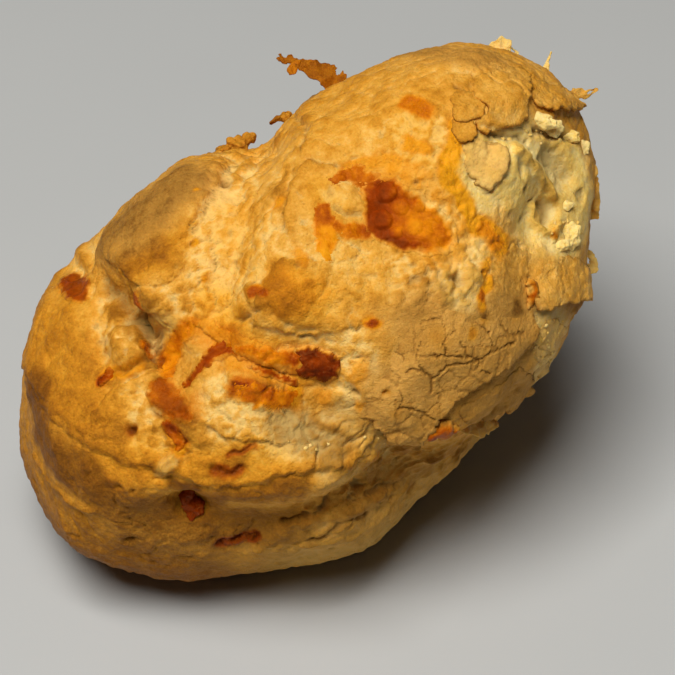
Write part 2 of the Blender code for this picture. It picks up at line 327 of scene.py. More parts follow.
class Skin:
    """The bun's skin on an even grid: its points, the height to add along their normals, and its colours."""

    # The last colour darkens creases, pits, holes and the ground under edges and plates: it is painted shade.
    COLOURS = ("brown", "gold", "crumb", "matte", "cheese", "scorch", "painted_shade")
    REGIONS = ("calm", "wrinkled", "streaked", "flaky", "curdled", "pale")

    def __init__(self):
        directions, self.quads = cube_grid(GRID_CELLS)
        self.front = directions[self.quads].mean(axis=1)[:, 2] > 0.0
        along = np.array((math.cos(LONG_TURN), math.sin(LONG_TURN), 0.0))
        directions = directions + np.outer(directions @ along, along) * (LONG_STRETCH - 1.0)
        directions = unit(unit(directions) + FACE_SHIFT * np.array((0.0, 0.0, 1.0)))
        origin = Vector((0.0, 0.0, 0.0))
        points = np.array([BUN.ray_cast(origin, Vector(direction))[0] for direction in directions])
        self.edges = grid_edges(self.quads)
        self.points = spread(points, self.edges, SMOOTHING_STEPS)
        self.normals = point_normals(self.points, self.quads)
        ragged = 0.45 * WARP.vectors(self.points, 1.7) + 0.16 * WARP.vectors(self.points, 0.7)
        self.ragged = self.points + ragged
        self.wavy = self.points + 1.3 * WARP.vectors(self.points, 5.0) + ragged
        self.height = np.zeros(len(points))
        self.fields = {name: np.zeros(len(points)) for name in self.COLOURS}
        self.regions = {name: np.zeros(len(points)) for name in self.REGIONS}

    def near(self, path, side, reach):
        """The points within reach of a path, their distances from it and how far they lie to its left."""
        line = on_skin(smooth_path(path), side)
        close = np.all((self.points > line.min(axis=0) - reach) & (self.points < line.max(axis=0) + reach),
                       axis=1)
        close = np.nonzero(close)[0]
        gap, foot, heading, _ = nearest_on(self.ragged[close], line)
        left = np.cross(heading, self.ragged[close] - foot)
        return close, gap, np.where(np.einsum("ij,ij->i", left, self.normals[close]) > 0.0, gap, -gap)

    def add(self, name, close, values):
        """Raises one colour to the given values where it is lower."""
        field = self.regions[name] if name in self.regions else self.fields[name]
        field[close] = np.maximum(field[close], values)

    def groove(self, path, width, depth, painted_shade, side=FACE):
        """A crease, with lips that stand a little proud, and painted shade along it."""
        close, gap, _ = self.near(path, side, 4.0 * width + 1.0)
        self.height[close] += 0.25 * depth * bump(gap, 2.4 * width) - 1.2 * depth * bump(gap, width)
        self.add("painted_shade", close, painted_shade * bump(gap, 0.9 * width))

    def ledge(self, path, rise, reach, painted_shade, soft=0.3, side=FACE):
        """An edge: the ground left of the path stands higher, and drops off at it over a soft distance, with
        painted shadow at its foot.
        """
        close, gap, left = self.near(path, side, 3.0 * reach + 1.0)
        over = np.where(left > 0.0, np.exp(-(gap / reach) ** 2), 0.0) * ramp(left, 0.0, soft)
        self.height[close] += rise * over - 0.4 * rise * np.where(left < 0.0, bump(gap, 2.0 * soft), 0.0)
        self.add("painted_shade", close, painted_shade * np.where(left < 0.0, bump(gap - 0.5 * soft, 1.8 * soft), 0.0))

    def swell(self, path, rise, reach, side=FACE, edge=0.0):
        """A rounded rise or hollow along a path; an edge of 1 makes it a blister with a clear rim."""
        close, gap, _ = self.near(path, side, 2.6 * reach)
        soft = bump(gap, reach)
        self.height[close] += rise * ((1.0 - edge) * soft + edge * dome(gap / (1.25 * reach)))

    def tint(self, name, path, strength, reach, side=FACE):
        """Colours the skin around a path, with a wavy border."""
        close, gap, _ = self.near(path, side, 1.8 * reach + 1.5)
        line = on_skin(smooth_path(path), side)
        gap = nearest_on((self.wavy if reach > 1.2 else self.ragged)[close], line)[0]
        soft = TINT_SOFTNESS.get(name, 1.0)
        self.add(name, close, strength * ramp(1.0 + 0.5 * soft - gap / reach, 0.0, soft))


# ---- what the skin shows, by name: sizes in mm, places on the middle plane -----------------------

# width, depth, how much painted shade, path
FACE_GROOVES = {
    "line over the dome": (0.28, 0.35, 0.55, ((-1.6, 19.6), (-0.5, 18.5), (1.2, 17.8), (3.9, 17.4))),
    "under the knob": (0.40, 0.60, 0.70, ((-21.9, 3.4), (-21.8, 1.4), (-20.8, -0.4), (-19.4, -1.8))),
    "left recess": (0.80, 0.90, 0.80, ((-25.2, 4.5), (-23.5, 1.9), (-21.4, -0.4))),
    "recess wall": (0.55, 0.90, 0.85, ((-21.1, 0.0), (-18.7, -2.4), (-17.9, -4.4))),
    "olive fold": (0.45, 0.55, 0.60, ((-24.7, -7.5), (-22.8, -6.6), (-20.2, -5.6), (-17.9, -5.2))),
    "cheese line": (0.40, 0.45, 0.20, ((-15.0, -7.9), (-13.5, -6.6), (-12.2, -5.0), (-9.4, -3.3))),
    "brown fold": (0.45, 0.80, 0.95, ((-18.6, -11.0), (-16.8, -11.6), (-14.9, -11.9), (-13.6, -12.4))),
    "wedge": (0.60, 0.55, 0.40, ((-16.4, -12.8), (-15.3, -14.4), (-15.5, -15.9))),
    "by the dent": (0.22, 0.25, 0.60, ((-24.8, -13.3), (-23.7, -13.4), (-22.6, -13.7))),
    "by the lump": (0.22, 0.25, 0.70, ((-15.5, -16.4), (-14.6, -16.3), (-13.6, -16.0))),
    "long slit": (0.45, 0.90, 0.55,
                  ((-3.4, -24.5), (-0.5, -23.6), (1.3, -22.9), (2.6, -21.0), (5.6, -20.4), (6.6, -20.3))),
    "lower slit": (0.45, 0.60, 0.60, ((-0.5, -27.1), (1.7, -26.4), (4.1, -24.8), (7.1, -24.0))),
    "side slit": (0.35, 0.60, 0.60, ((6.6, -21.6), (8.3, -20.8), (10.2, -20.5))),
    "red slit": (0.40, 0.55, 0.60, ((-11.0, -27.2), (-9.3, -26.9), (-6.6, -26.3))),
    "over the chunk": (0.30, 0.30, 0.35, ((-1.3, -2.4), (0.3, -2.7), (2.4, -3.3))),
    "beside the dome": (0.38, 0.55, 0.80, ((-8.5, -0.6), (-7.4, -0.1), (-6.0, 0.5))),
    "pale crease": (0.35, 0.40, 0.55, ((11.7, 3.5), (12.5, 4.2), (13.5, 5.1))),
    "olive slits": (0.45, 0.60, 0.70, ((-0.8, -13.0), (0.6, -13.3), (1.9, -13.7))),
    "torn border": (0.30, 0.45, 0.60,
                    ((-3.4, -10.9), (-1.8, -12.2), (-0.4, -14.2), (0.9, -15.4), (0.6, -17.6))),
    "dome foot": (0.45, 0.35, 0.25, ((-4.4, 5.9), (-5.3, 3.6), (-5.0, 1.2), (-3.2, -0.9), (0.4, -1.7))),
    "pale dome rim": (0.40, 0.35, 0.30, ((-10.6, -5.2), (-9.8, -7.4), (-7.4, -9.1), (-4.6, -8.6))),
    "knob rim": (0.35, 0.35, 0.30, ((2.2, 14.8), (2.6, 12.6), (4.4, 11.4), (6.4, 11.6))),
    "island foot": (0.40, 0.30, 0.15,
                    ((17.6, 19.6), (18.7, 16.2), (20.5, 14.4), (22.4, 16.8), (22.8, 19.6))),
    "under the plates": (0.40, 0.55, 0.70, ((19.6, 21.9), (22.2, 21.1), (25.4, 20.9))),
    "under the far plate": (0.55, 0.90, 0.95, ((26.8, 22.3), (29.2, 21.9), (31.6, 21.4))),
    "crumb hollow": (0.80, 1.00, 0.75, ((27.6, 13.4), (28.2, 12.4), (28.0, 11.4))),
    "crumb cleft": (0.40, 0.60, 0.50, ((27.4, 19.2), (27.7, 16.9), (28.0, 14.9))),
    "top fold": (0.45, 0.50, 0.45, ((-2.6, 24.6), (-1.0, 22.6), (-1.4, 20.2))),
    "lip mark": (0.45, 0.50, 0.80, ((-11.3, -17.7), (-9.6, -18.6), (-8.0, -17.7))),
    "red line": (0.22, 0.30, 0.60, ((-9.8, -16.4), (-8.4, -16.0), (-6.8, -15.3))),
    "shoulder line": (0.30, 0.30, 0.30, ((-33.0, -8.6), (-30.6, -11.6), (-26.8, -14.4))),
}

# rise, reach, rim, path
FACE_SWELLS = {
    "tan dome": (0.55, 2.6, 0.3, ((-2.4, 3.5), (-0.9, 1.6))),
    "dome's flat side": (0.30, 1.6, 0.0, ((1.8, 4.2), (4.2, 2.6))),
    "lump by the dome": (0.60, 1.1, 0.5, ((-6.9, 2.7), (-6.0, 1.9))),
    "second lump": (0.45, 0.9, 0.5, ((-8.0, 1.2),)),
    "pale dome": (0.50, 2.0, 0.4, ((-8.0, -6.6), (-6.9, -7.2))),
    "pale hump in the loop": (0.55, 1.3, 0.5, ((-13.2, -3.2),)),
    "pale hump": (1.20, 1.7, 0.4, ((-22.8, -3.2), (-21.4, -4.0))),
    "recess": (-1.50, 1.5, 0.0, ((-22.8, 2.6), (-20.2, -0.6), (-18.4, -3.4), (-17.7, -5.2))),
    "recess's outer side": (-0.90, 1.2, 0.0, ((-25.6, 2.2), (-25.6, -1.0), (-24.8, -4.6))),
    "chunk's hollow": (-1.5, 1.8, 0.5, ((-14.8, -21.2), (-14.2, -22.4))),
    "rope's bed": (-0.50, 1.4, 0.0, ((-10.8, -5.2), (-7.0, -5.8), (-3.6, -6.6))),
    "under the chunk": (-0.60, 1.0, 0.0, ((-3.0, -7.6), (0.0, -8.6), (2.8, -8.4))),
    "knob": (0.90, 1.2, 0.6, ((-20.2, 2.0), (-18.8, 1.4))),
    "knob lip": (0.50, 0.6, 0.2, ((-21.5, 4.4), (-19.0, 3.0), (-17.4, 1.8), (-17.2, 0.4))),
    "pale knob": (0.90, 1.6, 0.4, ((4.2, 13.6), (5.0, 12.8))),
    "tan hump": (0.55, 1.5, 0.5, ((-13.6, -13.3),)),
    "lower lump": (0.45, 1.7, 0.4, ((-14.6, -18.0), (-12.6, -17.8))),
    "left lower swell": (0.30, 2.5, 0.0, ((-25.5, -10.6), (-23.4, -11.4))),
    "round spot's rim": (0.35, 1.2, 0.3, ((-28.9, 3.8),)),
    "pale ridge": (0.60, 0.9, 0.2, ((-28.4, 8.6), (-27.3, 6.2), (-26.6, 4.2))),
    "brown hump by the rope": (0.40, 1.0, 0.3, ((-12.9, -0.7), (-10.1, -1.7), (-7.7, -2.4))),
    "leaf under the fold": (0.45, 0.8, 0.3, ((-17.8, -12.4), (-15.9, -12.8), (-14.6, -13.6))),
    "brown fold": (0.55, 1.1, 0.3, ((-17.6, -9.9), (-15.6, -10.6))),
    "golden ridge": (0.60, 0.9, 0.3, ((3.0, -18.2), (5.7, -17.0), (7.9, -16.2))),
    "foot ridge": (0.45, 0.5, 0.1,
                   ((-34.1, -17.0), (-32.3, -19.6), (-30.4, -21.2), (-28.5, -22.5), (-26.0, -23.4))),
    "underside ridge": (0.45, 0.6, 0.1, ((-6.3, -27.9), (-3.9, -26.2), (-2.4, -25.0), (0.4, -24.4))),
    "underside lip": (0.35, 0.7, 0.1, ((2.6, -24.2), (5.4, -22.8), (8.4, -21.6), (11.0, -20.8))),
    "arch lips": (0.45, 0.7, 0.3, ((-9.4, 15.4), (-8.4, 16.2), (-7.2, 15.2))),
    "crumb ridge": (1.20, 0.8, 0.2, ((23.8, 19.6), (26.0, 18.2), (27.6, 16.6), (28.8, 14.8))),
    "crumb cave": (-1.40, 1.7, 0.0, ((28.8, 19.0), (30.4, 16.6))),
    "crumb cave below": (-0.90, 1.0, 0.0, ((28.0, 13.8), (28.8, 12.8))),
    "crumb rim": (0.80, 0.7, 0.2, ((26.0, 13.0), (26.2, 11.2), (27.6, 10.2), (29.4, 10.8))),
    "crumb lump": (0.90, 2.8, 0.3, ((23.6, 17.6), (24.4, 14.6))),
    "crumb lump below": (0.40, 2.0, 0.2, ((23.0, 12.4),)),
    "soft lump": (0.35, 1.0, 0.4, ((5.3, -6.4),)),
    "yellow lump": (0.35, 0.9, 0.4, ((1.3, -9.4),)),
    "trough's middle": (-0.45, 1.8, 0.0, ((-11.6, 13.2), (-11.2, 8.2), (-10.6, 3.6))),
    "grey trough": (-0.40, 1.5, 0.0, ((-8.6, 18.4), (-5.6, 19.8), (-3.4, 20.6))),
}

# rise, reach, how much painted shadow below it, softness, path with the higher ground on its left
FACE_LEDGES = {
    "lower lip": (0.50, 1.6, 0.15, 0.60,
                  ((-18.5, -18.0), (-14.1, -19.4), (-11.6, -20.0), (-8.9, -20.2), (-6.0, -19.7),
                   (-2.0, -18.6), (2.2, -18.0))),
    "brown fold": (0.35, 1.0, 0.4, 0.35, ((-13.6, -12.0), (-16.3, -11.0), (-18.8, -9.6))),
    "left lobe": (0.45, 2.4, 0.0, 0.80,
                  ((-24.0, 6.2), (-22.2, 4.7), (-19.9, 3.6), (-17.0, 4.0), (-14.8, 6.2), (-15.2, 8.6),
                   (-13.6, 11.7), (-11.4, 14.6), (-10.4, 18.0))),
    "dome": (0.35, 2.2, 0.05, 0.50, ((-0.1, 6.3), (-3.4, 6.4), (-5.6, 4.1), (-6.5, -0.8))),
    "dome's lower side": (0.25, 1.6, 0.08, 0.40, ((-5.8, -1.4), (-2.4, -2.0), (1.6, -2.4), (4.6, -1.6))),
    "raised patch": (0.35, 1.8, 0.12, 0.40,
                     ((1.6, 17.9), (-0.8, 18.3), (-2.6, 15.5), (-3.2, 13.0), (-3.0, 10.4))),
    "arch": (0.35, 1.0, 0.20, 0.30, ((-7.6, 19.4), (-9.0, 17.6), (-9.6, 15.4))),
    "left slab": (0.40, 1.8, 0.12, 0.40, ((-17.8, -6.4), (-20.4, -7.0), (-23.4, -8.6), (-25.0, -10.6))),
    "recess wall": (1.10, 1.0, 0.55, 0.35, ((-18.6, -5.6), (-19.4, -3.6), (-20.4, -1.4), (-21.2, 0.6))),
    "lower shelf": (0.30, 1.4, 0.15, 0.30, ((-12.0, -13.0), (-8.0, -14.6), (-4.0, -14.8))),
    "shoulder": (0.45, 2.4, 0.05, 0.80,
                 ((-35.0, -7.0), (-31.6, -11.6), (-27.4, -15.0), (-23.0, -17.0), (-19.4, -18.0))),
}

# width, depth, place
FACE_PITS = {
    "dent": (0.75, 0.75, (-21.4, -13.5)),
    "pit by the dome": (0.35, 0.45, (-6.8, 3.6)),
    "pit over the dome": (0.35, 0.40, (-1.6, 5.6)),
    "pit in the oil": (0.40, 0.45, (12.2, 15.5)),
    "pit left": (0.50, 0.60, (-10.0, 16.0)),
    "brown hole": (0.42, 0.60, (8.7, -8.8)),
    "dark pit": (0.60, 0.60, (5.0, -8.8)),
    "pit on the plate": (0.35, 0.40, (17.3, 27.1)),
    "olive hole": (0.70, 0.80, (17.1, 4.3)),
    "pits in the recess": (0.45, 0.60, (-16.7, -7.0)),
    "crumb hole": (0.55, 0.70, (24.9, 15.3)),
    "nick": (0.35, 0.40, (-22.8, -20.3)),
    "nick beside": (0.35, 0.40, (-21.1, -20.9)),
    "shadowed nick": (0.55, 0.50, (-21.6, -27.0)),
}

# colour: strength, reach, path
FACE_TINTS = {
    "gold": (
        (0.35, 8.5, ((-10.0, 26.0), (-2.0, 26.0), (5.5, 23.0))),
        (0.70, 5.0, ((-31.0, -1.0), (-29.5, -7.0), (-26.0, -11.0))),
        (0.75, 3.5, ((-24.0, -16.4), (-20.0, -17.6), (-13.0, -18.2), (-6.0, -17.6))),
        (0.60, 4.0, ((11.0, 21.0), (12.0, 24.0))),
        (0.85, 3.2, ((-2.4, 3.4), (0.2, 1.4))),
        (0.80, 2.4, ((-12.0, 1.6), (-9.0, -0.4))),
        (0.60, 3.0, ((10.6, 18.8), (14.6, 18.4))),
        (0.60, 2.5, ((1.4, 14.6), (3.0, 12.6))),
        (0.45, 3.5, ((-9.0, 11.0), (-7.6, 6.0))),
        (0.40, 4.5, ((5.0, 4.4), (9.0, 1.6))),
        (0.70, 1.5, ((-12.9, -0.7), (-10.1, -1.7), (-7.7, -2.4), (-4.6, -3.2))),
        (0.70, 2.4, ((-20.8, 5.8), (-17.8, 7.6), (-15.4, 9.4))),
    ),
    "cheese": (
        (0.30, 2.4, ((-3.4, 3.2), (-0.6, 2.2))),
        (0.80, 0.8, ((-10.8, -18.0), (-9.6, -18.5), (-8.4, -17.9))),
        (0.75, 0.45, ((-9.8, -16.4), (-8.4, -16.0), (-6.8, -15.3))),
        (0.50, 1.5, ((8.0, 17.2), (12.0, 16.4), (15.2, 13.8), (17.4, 10.6), (17.0, 7.8), (13.6, 6.4))),
        (0.55, 1.6, ((-9.6, -5.4), (-6.0, -6.2), (-2.0, -7.8))),
        (0.45, 2.0, ((-17.0, -9.2), (-15.4, -10.6), (-13.6, -10.4))),
        (0.50, 1.3, ((-14.8, -1.6), (-11.6, -2.2), (-8.8, -3.0))),
        (1.00, 1.5, ((-8.4, -9.0), (-6.2, -9.4), (-4.0, -9.8), (-2.4, -9.0))),
        (1.00, 0.9, ((-24.7, -7.6), (-24.1, -7.2))),
        (0.75, 0.9, ((-23.8, -6.9), (-22.0, -6.3), (-20.4, -5.8))),
        (1.00, 0.5, ((-15.0, -7.9), (-13.5, -6.6), (-12.2, -5.0), (-9.4, -3.3))),
        (0.90, 1.2, ((-14.4, -1.4), (-16.0, -3.0), (-17.3, -5.6))),
        (0.95, 1.0, ((-16.2, -13.4), (-15.3, -14.5), (-15.5, -15.8))),
        (1.00, 0.55, ((-19.6, -3.8),)),
        (0.90, 0.55, ((-13.7, 8.8),)),
        (0.90, 0.45, ((-12.4, 4.1),)),
        (0.90, 0.50, ((-13.7, 15.0),)),
        (0.80, 0.75, ((-4.1, 13.2),)),
        (0.95, 0.75, ((-6.5, 2.5), (-5.9, 2.9), (-5.2, 2.6))),
        (0.65, 0.80, ((-1.3, 7.2), (-1.0, 6.2))),
        (1.00, 0.85, ((6.8, -0.6), (7.4, -1.0))),
        (0.55, 1.3, ((5.2, -6.6),)),
        (0.45, 1.0, ((1.3, -9.4),)),
        (0.60, 0.9, ((5.8, -10.7), (6.4, -10.9))),
        (0.95, 1.2, ((11.4, 25.2), (12.4, 24.8), (13.4, 24.2))),
        (0.75, 0.8, ((13.2, 19.7),)),
        (1.00, 1.40, ((16.8, 21.4), (16.4, 18.8), (16.2, 16.8), (16.6, 14.8), (18.2, 12.6))),
        (0.85, 0.9, ((-20.5, 2.2), (-20.0, 1.0))),
        (0.85, 0.8, ((-21.4, -13.5),)),
        (0.92, 1.6, ((19.0, 11.4), (21.0, 9.4), (22.0, 8.2))),
        (0.80, 0.6, ((20.6, 6.6), (20.2, 4.8), (20.5, 3.2))),
        (0.80, 1.0, ((11.2, 20.2), (12.8, 20.0))),
        (0.95, 0.7, ((20.9, 3.8), (19.9, 2.3), (20.0, 1.2))),
        (0.90, 0.5, ((29.0, 9.8),)),
        (0.80, 0.6, ((19.5, 10.3),)),
        (0.70, 1.0, ((9.9, 17.8), (7.0, 17.9), (4.4, 17.2))),
        (0.90, 1.6, ((-29.6, 3.7), (-28.2, 3.7))),
        (0.90, 0.8, ((-10.8, -27.2), (-8.6, -26.8), (-6.8, -26.4))),
        (0.70, 0.8, ((7.0, -16.3), (8.0, -16.0))),
    ),
    "crumb": (
        (1.00, 5.2, ((21.0, 17.6), (25.6, 17.6), (26.4, 13.0), (29.6, 14.6))),
        (1.00, 3.8, ((30.6, 18.6), (32.0, 14.0), (30.6, 10.6))),
        (0.42, 2.6, ((18.4, 7.6), (16.6, 5.4), (18.4, 3.4))),
        (0.35, 1.8, ((-1.4, -12.4), (0.2, -14.2), (1.9, -16.4))),
        (0.35, 1.5, ((2.4, -12.2), (4.8, -14.0), (8.4, -16.4))),
        (0.40, 1.6, ((-19.0, 0.6), (-17.2, -0.4), (-17.6, -3.0))),
        (0.70, 3.2, ((28.4, -1.0), (29.6, -4.6), (27.6, -8.4))),
        (0.40, 0.7, ((-17.8, -18.3), (-16.9, -17.6), (-15.9, -16.8))),
        (0.20, 1.6, ((2.6, -19.2), (4.6, -19.2), (7.0, -18.2))),
    ),
    # Painted shade: in hollows, under the plates and the sheet's edge, and over the shaded lower flank.
    "painted_shade": (
        (0.22, 3.0, ((27.8, 17.4), (29.6, 14.6), (30.4, 11.8))),
        (0.60, 2.6, ((-3.4, -11.4), (-0.6, -13.0), (1.6, -15.4))),
        (0.70, 0.8, ((-15.6, -19.8), (-14.6, -20.1))),
        (0.50, 1.6, ((28.8, 18.8), (30.4, 16.4))),
        (0.50, 1.5, ((27.4, 0.0), (30.2, 0.2), (32.2, 0.8))),
        (0.35, 1.2, ((-23.4, 2.4), (-21.8, 0.4), (-20.2, -2.6))),
        (0.34, 3.6, ((-33.4, -11.0), (-31.0, -15.8), (-27.0, -20.0))),
        (0.34, 2.8, ((8.0, -18.6), (12.6, -18.4), (15.6, -16.4))),
        (0.85, 1.0, ((-16.0, -19.8), (-14.6, -20.2), (-13.6, -20.4))),
        (0.45, 1.4, ((2.0, -11.1), (4.6, -12.6), (8.0, -15.0), (12.0, -16.6))),
        (0.35, 0.8, ((-11.0, -18.6), (-9.0, -18.2), (-8.0, -16.4))),
    ),
    "matte": (
        (1.00, 5.5, ((13.6, -1.6), (19.0, -3.0), (23.6, -1.0))),
        (1.00, 4.0, ((9.4, -9.0), (13.6, -8.8), (19.0, -8.0), (24.4, -6.6))),
        (0.45, 4.0, ((-22.0, -25.0), (-12.0, -29.0), (-2.0, -29.0), (6.0, -25.0), (12.0, -20.5))),
        (1.00, 4.6, ((-24.0, 11.0), (-20.0, 12.6), (-15.6, 16.6))),
        (0.80, 3.0, ((10.0, 33.0), (16.0, 32.0), (22.0, 31.0))),
    ),
    "brown": (
        (0.74, 4.6, ((-24.0, 11.0), (-20.0, 12.6), (-15.6, 16.6))),
        (0.76, 3.2, ((-21.4, 6.6), (-18.6, 7.6))),
        (0.92, 1.1, ((-20.6, 2.2), (-19.2, 1.6))),
        (0.50, 3.0, ((10.0, 33.0), (16.0, 32.0), (22.0, 31.0))),
        (0.90, 4.2, ((-33.6, -10.0), (-32.0, -15.0), (-28.0, -20.0))),
        (0.82, 4.6, ((-30.0, -17.0), (-24.0, -22.0), (-14.0, -25.0), (-4.0, -25.0))),
        (0.78, 2.4, ((-12.0, -21.6), (-6.0, -21.2), (-1.6, -19.8))),
        (0.45, 3.0, ((31.6, 17.0), (32.6, 12.0))),
        (0.59, 0.9, ((-3.2, 17.4), (-3.6, 14.8), (-3.4, 12.6))),
        (0.58, 1.0, ((-7.0, 7.4), (-7.7, 6.2), (-8.2, 5.2))),
        (0.62, 2.0, ((-3.9, 5.0), (-4.2, 2.6), (-2.4, 1.6))),
        (0.63, 0.8, ((-0.3, 3.7),)),
        (0.61, 0.7, ((-1.2, 1.5),)),
        (0.86, 2.0, ((-17.8, -8.6), (-16.4, -10.0), (-14.8, -11.4))),
        (0.62, 0.8, ((-18.2, -11.2), (-16.0, -11.8), (-14.2, -12.1))),
        (0.95, 1.1, ((24.4, 0.9),)),
        (0.88, 0.9, ((20.4, 0.0),)),
        (0.95, 0.9, ((18.7, -1.8),)),
        (0.70, 1.4, ((14.5, -2.3),)),
        (0.53, 0.8, ((12.3, 1.3),)),
        (0.95, 0.7, ((8.7, -8.8),)),
        (0.61, 0.6, ((-22.0, -13.8), (-21.6, -14.6), (-20.8, -14.2))),
        (0.58, 1.8, ((-10.8, -18.2), (-9.0, -16.8), (-7.9, -16.0))),
        (0.55, 1.2, ((-24.4, -16.6), (-21.6, -17.6), (-19.4, -18.0))),
        (0.66, 0.9, ((-11.3, -17.7), (-9.6, -18.6), (-8.0, -17.7))),
    ),
    "scorch": (
        (0.62, 1.0, ((-10.8, -18.0), (-8.4, -17.9))),
        (0.70, 0.7, ((-9.8, -16.4), (-6.8, -15.3))),
        (0.60, 0.8, ((-6.5, 2.5), (-5.2, 2.6))),
        (0.90, 1.0, ((-21.4, -13.5),)),
        (0.70, 1.0, ((-20.8, 2.0), (-20.0, 1.0))),
        (0.30, 1.2, ((20.4, 9.8), (21.6, 8.6))),
        (0.50, 2.0, ((-8.6, -8.8), (-6.4, -9.4), (-4.0, -9.6))),
        (0.50, 2.6, ((-17.0, -9.2), (-15.4, -10.6), (-13.6, -10.4))),
        (0.35, 1.8, ((-14.8, -1.6), (-11.6, -2.2), (-8.8, -3.0), (-6.0, -5.0))),
        (0.80, 0.5, ((-8.9, -8.0), (-6.5, -8.1), (-3.4, -8.9))),
        (0.85, 0.8, ((-24.7, -7.7),)),
        (0.85, 0.6, ((-15.0, -7.9), (-13.5, -6.6), (-12.2, -5.0), (-9.4, -3.3))),
        (0.60, 1.0, ((-14.4, -1.4), (-16.0, -3.0), (-17.3, -5.6))),
        (0.80, 0.8, ((-16.0, -13.2), (-15.2, -14.4))),
        (0.60, 0.6, ((-19.6, -3.8),)),
        (0.70, 0.8, ((7.1, -0.8),)),
        (0.40, 1.2, ((11.4, 25.2), (13.4, 24.2))),
        (0.85, 1.8, ((-29.2, 3.6),)),
        (0.80, 0.9, ((-10.8, -27.2), (-6.8, -26.4))),
        (0.50, 0.7, ((20.0, 2.2),)),
    ),
}

# region: strength, reach, path
FACE_REGIONS = {
    "pale": (
        (1.0, 3.2, ((-9.6, 16.0), (-11.4, 11.0), (-11.0, 6.0), (-9.6, 2.6))),
        (0.8, 2.0, ((-6.0, 10.0), (-7.0, 6.4))),
        (0.9, 2.0, ((-13.6, -3.0),)),
        (0.9, 3.0, ((-10.4, -9.8), (-7.0, -12.8), (-3.0, -13.4))),
        (1.3, 2.6, ((-22.6, -2.4), (-22.0, -4.0))),
        (0.8, 2.0, ((-22.6, -3.0), (-20.4, -8.0), (-19.0, -11.6))),
        (0.6, 4.0, ((6.0, 19.6), (12.0, 19.6), (15.6, 15.0))),
        (0.6, 2.4, ((3.6, 6.6), (8.0, 4.6), (12.0, 4.0))),
        (0.8, 2.0, ((4.8, -3.4), (5.6, -6.0), (3.4, -9.6))),
        (0.7, 2.0, ((-27.6, 7.0), (-26.6, 3.4), (-26.4, 0.0))),
        (0.6, 1.8, ((-20.0, -15.2), (-18.4, -15.6))),
        (1.3, 1.8, ((4.0, 14.2), (4.6, 12.8))),
    ),
    "calm": (
        (1.0, 4.5, ((13.0, -2.0), (19.0, -3.0), (23.0, -1.0))),
        (1.0, 3.5, ((10.0, -8.0), (17.0, -8.0))),
        (0.7, 4.0, ((-22.0, 12.0), (-17.0, 14.0), (-13.0, 19.0))),
        (1.0, 1.8, ((4.0, 14.2), (4.6, 12.8))),
    ),
    "wrinkled": (
        (1.0, 4.2, ((-8.4, 20.0), (-10.4, 14.0), (-11.0, 8.0), (-10.0, 2.6))),
        (0.8, 3.0, ((-5.0, 14.0), (-5.6, 8.0))),
        (0.7, 3.4, ((-24.4, 1.0), (-21.6, -2.6), (-20.6, -8.4))),
        (0.6, 3.2, ((-10.4, -9.0), (-6.0, -12.6), (-1.4, -12.0))),
        (0.7, 3.0, ((14.0, 3.4), (17.6, 6.4), (20.4, 9.0))),
    ),
    "streaked": (
        (1.0, 5.0, ((-23.0, 9.0), (-17.0, 12.0), (-12.0, 18.0))),
        (0.7, 5.0, ((-3.0, 24.0), (4.0, 24.5), (10.0, 26.0))),
        (0.5, 5.0, ((-33.0, -14.0), (-26.0, -20.0), (-14.0, -24.0))),
    ),
    "curdled": (
        (1.0, 4.0, ((12.0, 20.6), (14.6, 18.6), (18.0, 8.6), (17.0, 5.0), (12.4, 5.0))),
        (0.8, 3.0, ((-12.6, 10.0), (-11.0, 4.0), (-16.0, 1.0))),
        (1.0, 3.0, ((-9.6, -11.6), (-5.0, -13.4), (0.0, -13.6))),
        (0.7, 3.0, ((-23.4, -1.6), (-21.6, -8.4), (-18.4, -14.0))),
        (0.8, 2.4, ((4.0, -4.0), (5.0, -7.6))),
    ),
    "flaky": (
        (1.0, 4.6, ((2.6, -21.4), (7.6, -19.4), (13.0, -18.0), (17.0, -16.0))),
        (0.7, 3.6, ((-6.0, -26.0), (0.0, -26.6), (6.0, -24.6))),
        (0.9, 1.3, ((-17.8, -18.3), (-16.9, -17.6), (-15.9, -16.8))),
        (0.7, 2.6, ((28.6, -1.6), (29.4, -5.0), (27.4, -8.4))),
        (0.9, 3.0, ((2.6, -15.0), (7.0, -15.2), (12.0, -16.0))),
    ),
}

# the same for the back
BACK_GROOVES = {
    "long split": (0.45, 0.70, 0.60, ((-15.0, 5.0), (-8.0, 9.0), (-1.0, 9.6), (5.0, 7.4), (10.0, 8.4))),
    "side split": (0.35, 0.55, 0.55, ((8.0, -11.0), (13.0, -8.0), (17.0, -3.0), (18.4, 3.0))),
    "lower split": (0.35, 0.50, 0.50, ((-21.0, -5.0), (-16.0, -8.6), (-11.0, -9.6))),
    "upper crease": (0.30, 0.40, 0.40, ((-6.0, 20.0), (1.0, 17.4), (9.0, 18.4))),
    "short crease": (0.25, 0.35, 0.45, ((20.0, 14.0), (22.6, 10.0), (22.0, 6.0))),
}
BACK_SWELLS = {
    "upper lobe": (0.60, 4.2, 0.2, ((-12.0, 13.0), (0.0, 15.0))),
    "middle lobe": (0.50, 4.4, 0.1, ((2.0, 1.0), (11.0, 1.0))),
    "hollow": (-0.50, 2.4, 0.0, ((-7.0, 1.0), (-3.0, -5.0))),
    "knob": (0.60, 1.4, 0.5, ((-18.0, 8.0),)),
    "second knob": (0.50, 1.2, 0.5, ((6.0, 12.6),)),
    "low ridge": (0.45, 1.0, 0.2, ((-4.0, -11.0), (4.0, -12.0), (10.0, -10.0))),
}
BACK_LEDGES = {
    "flap": (0.50, 1.8, 0.25, 0.40, ((15.0, 14.0), (18.6, 9.0), (19.0, 3.0), (15.6, -2.0))),
    "lip": (0.45, 1.6, 0.20, 0.45, ((-24.0, 2.0), (-17.0, -1.0), (-9.0, -3.4))),
}
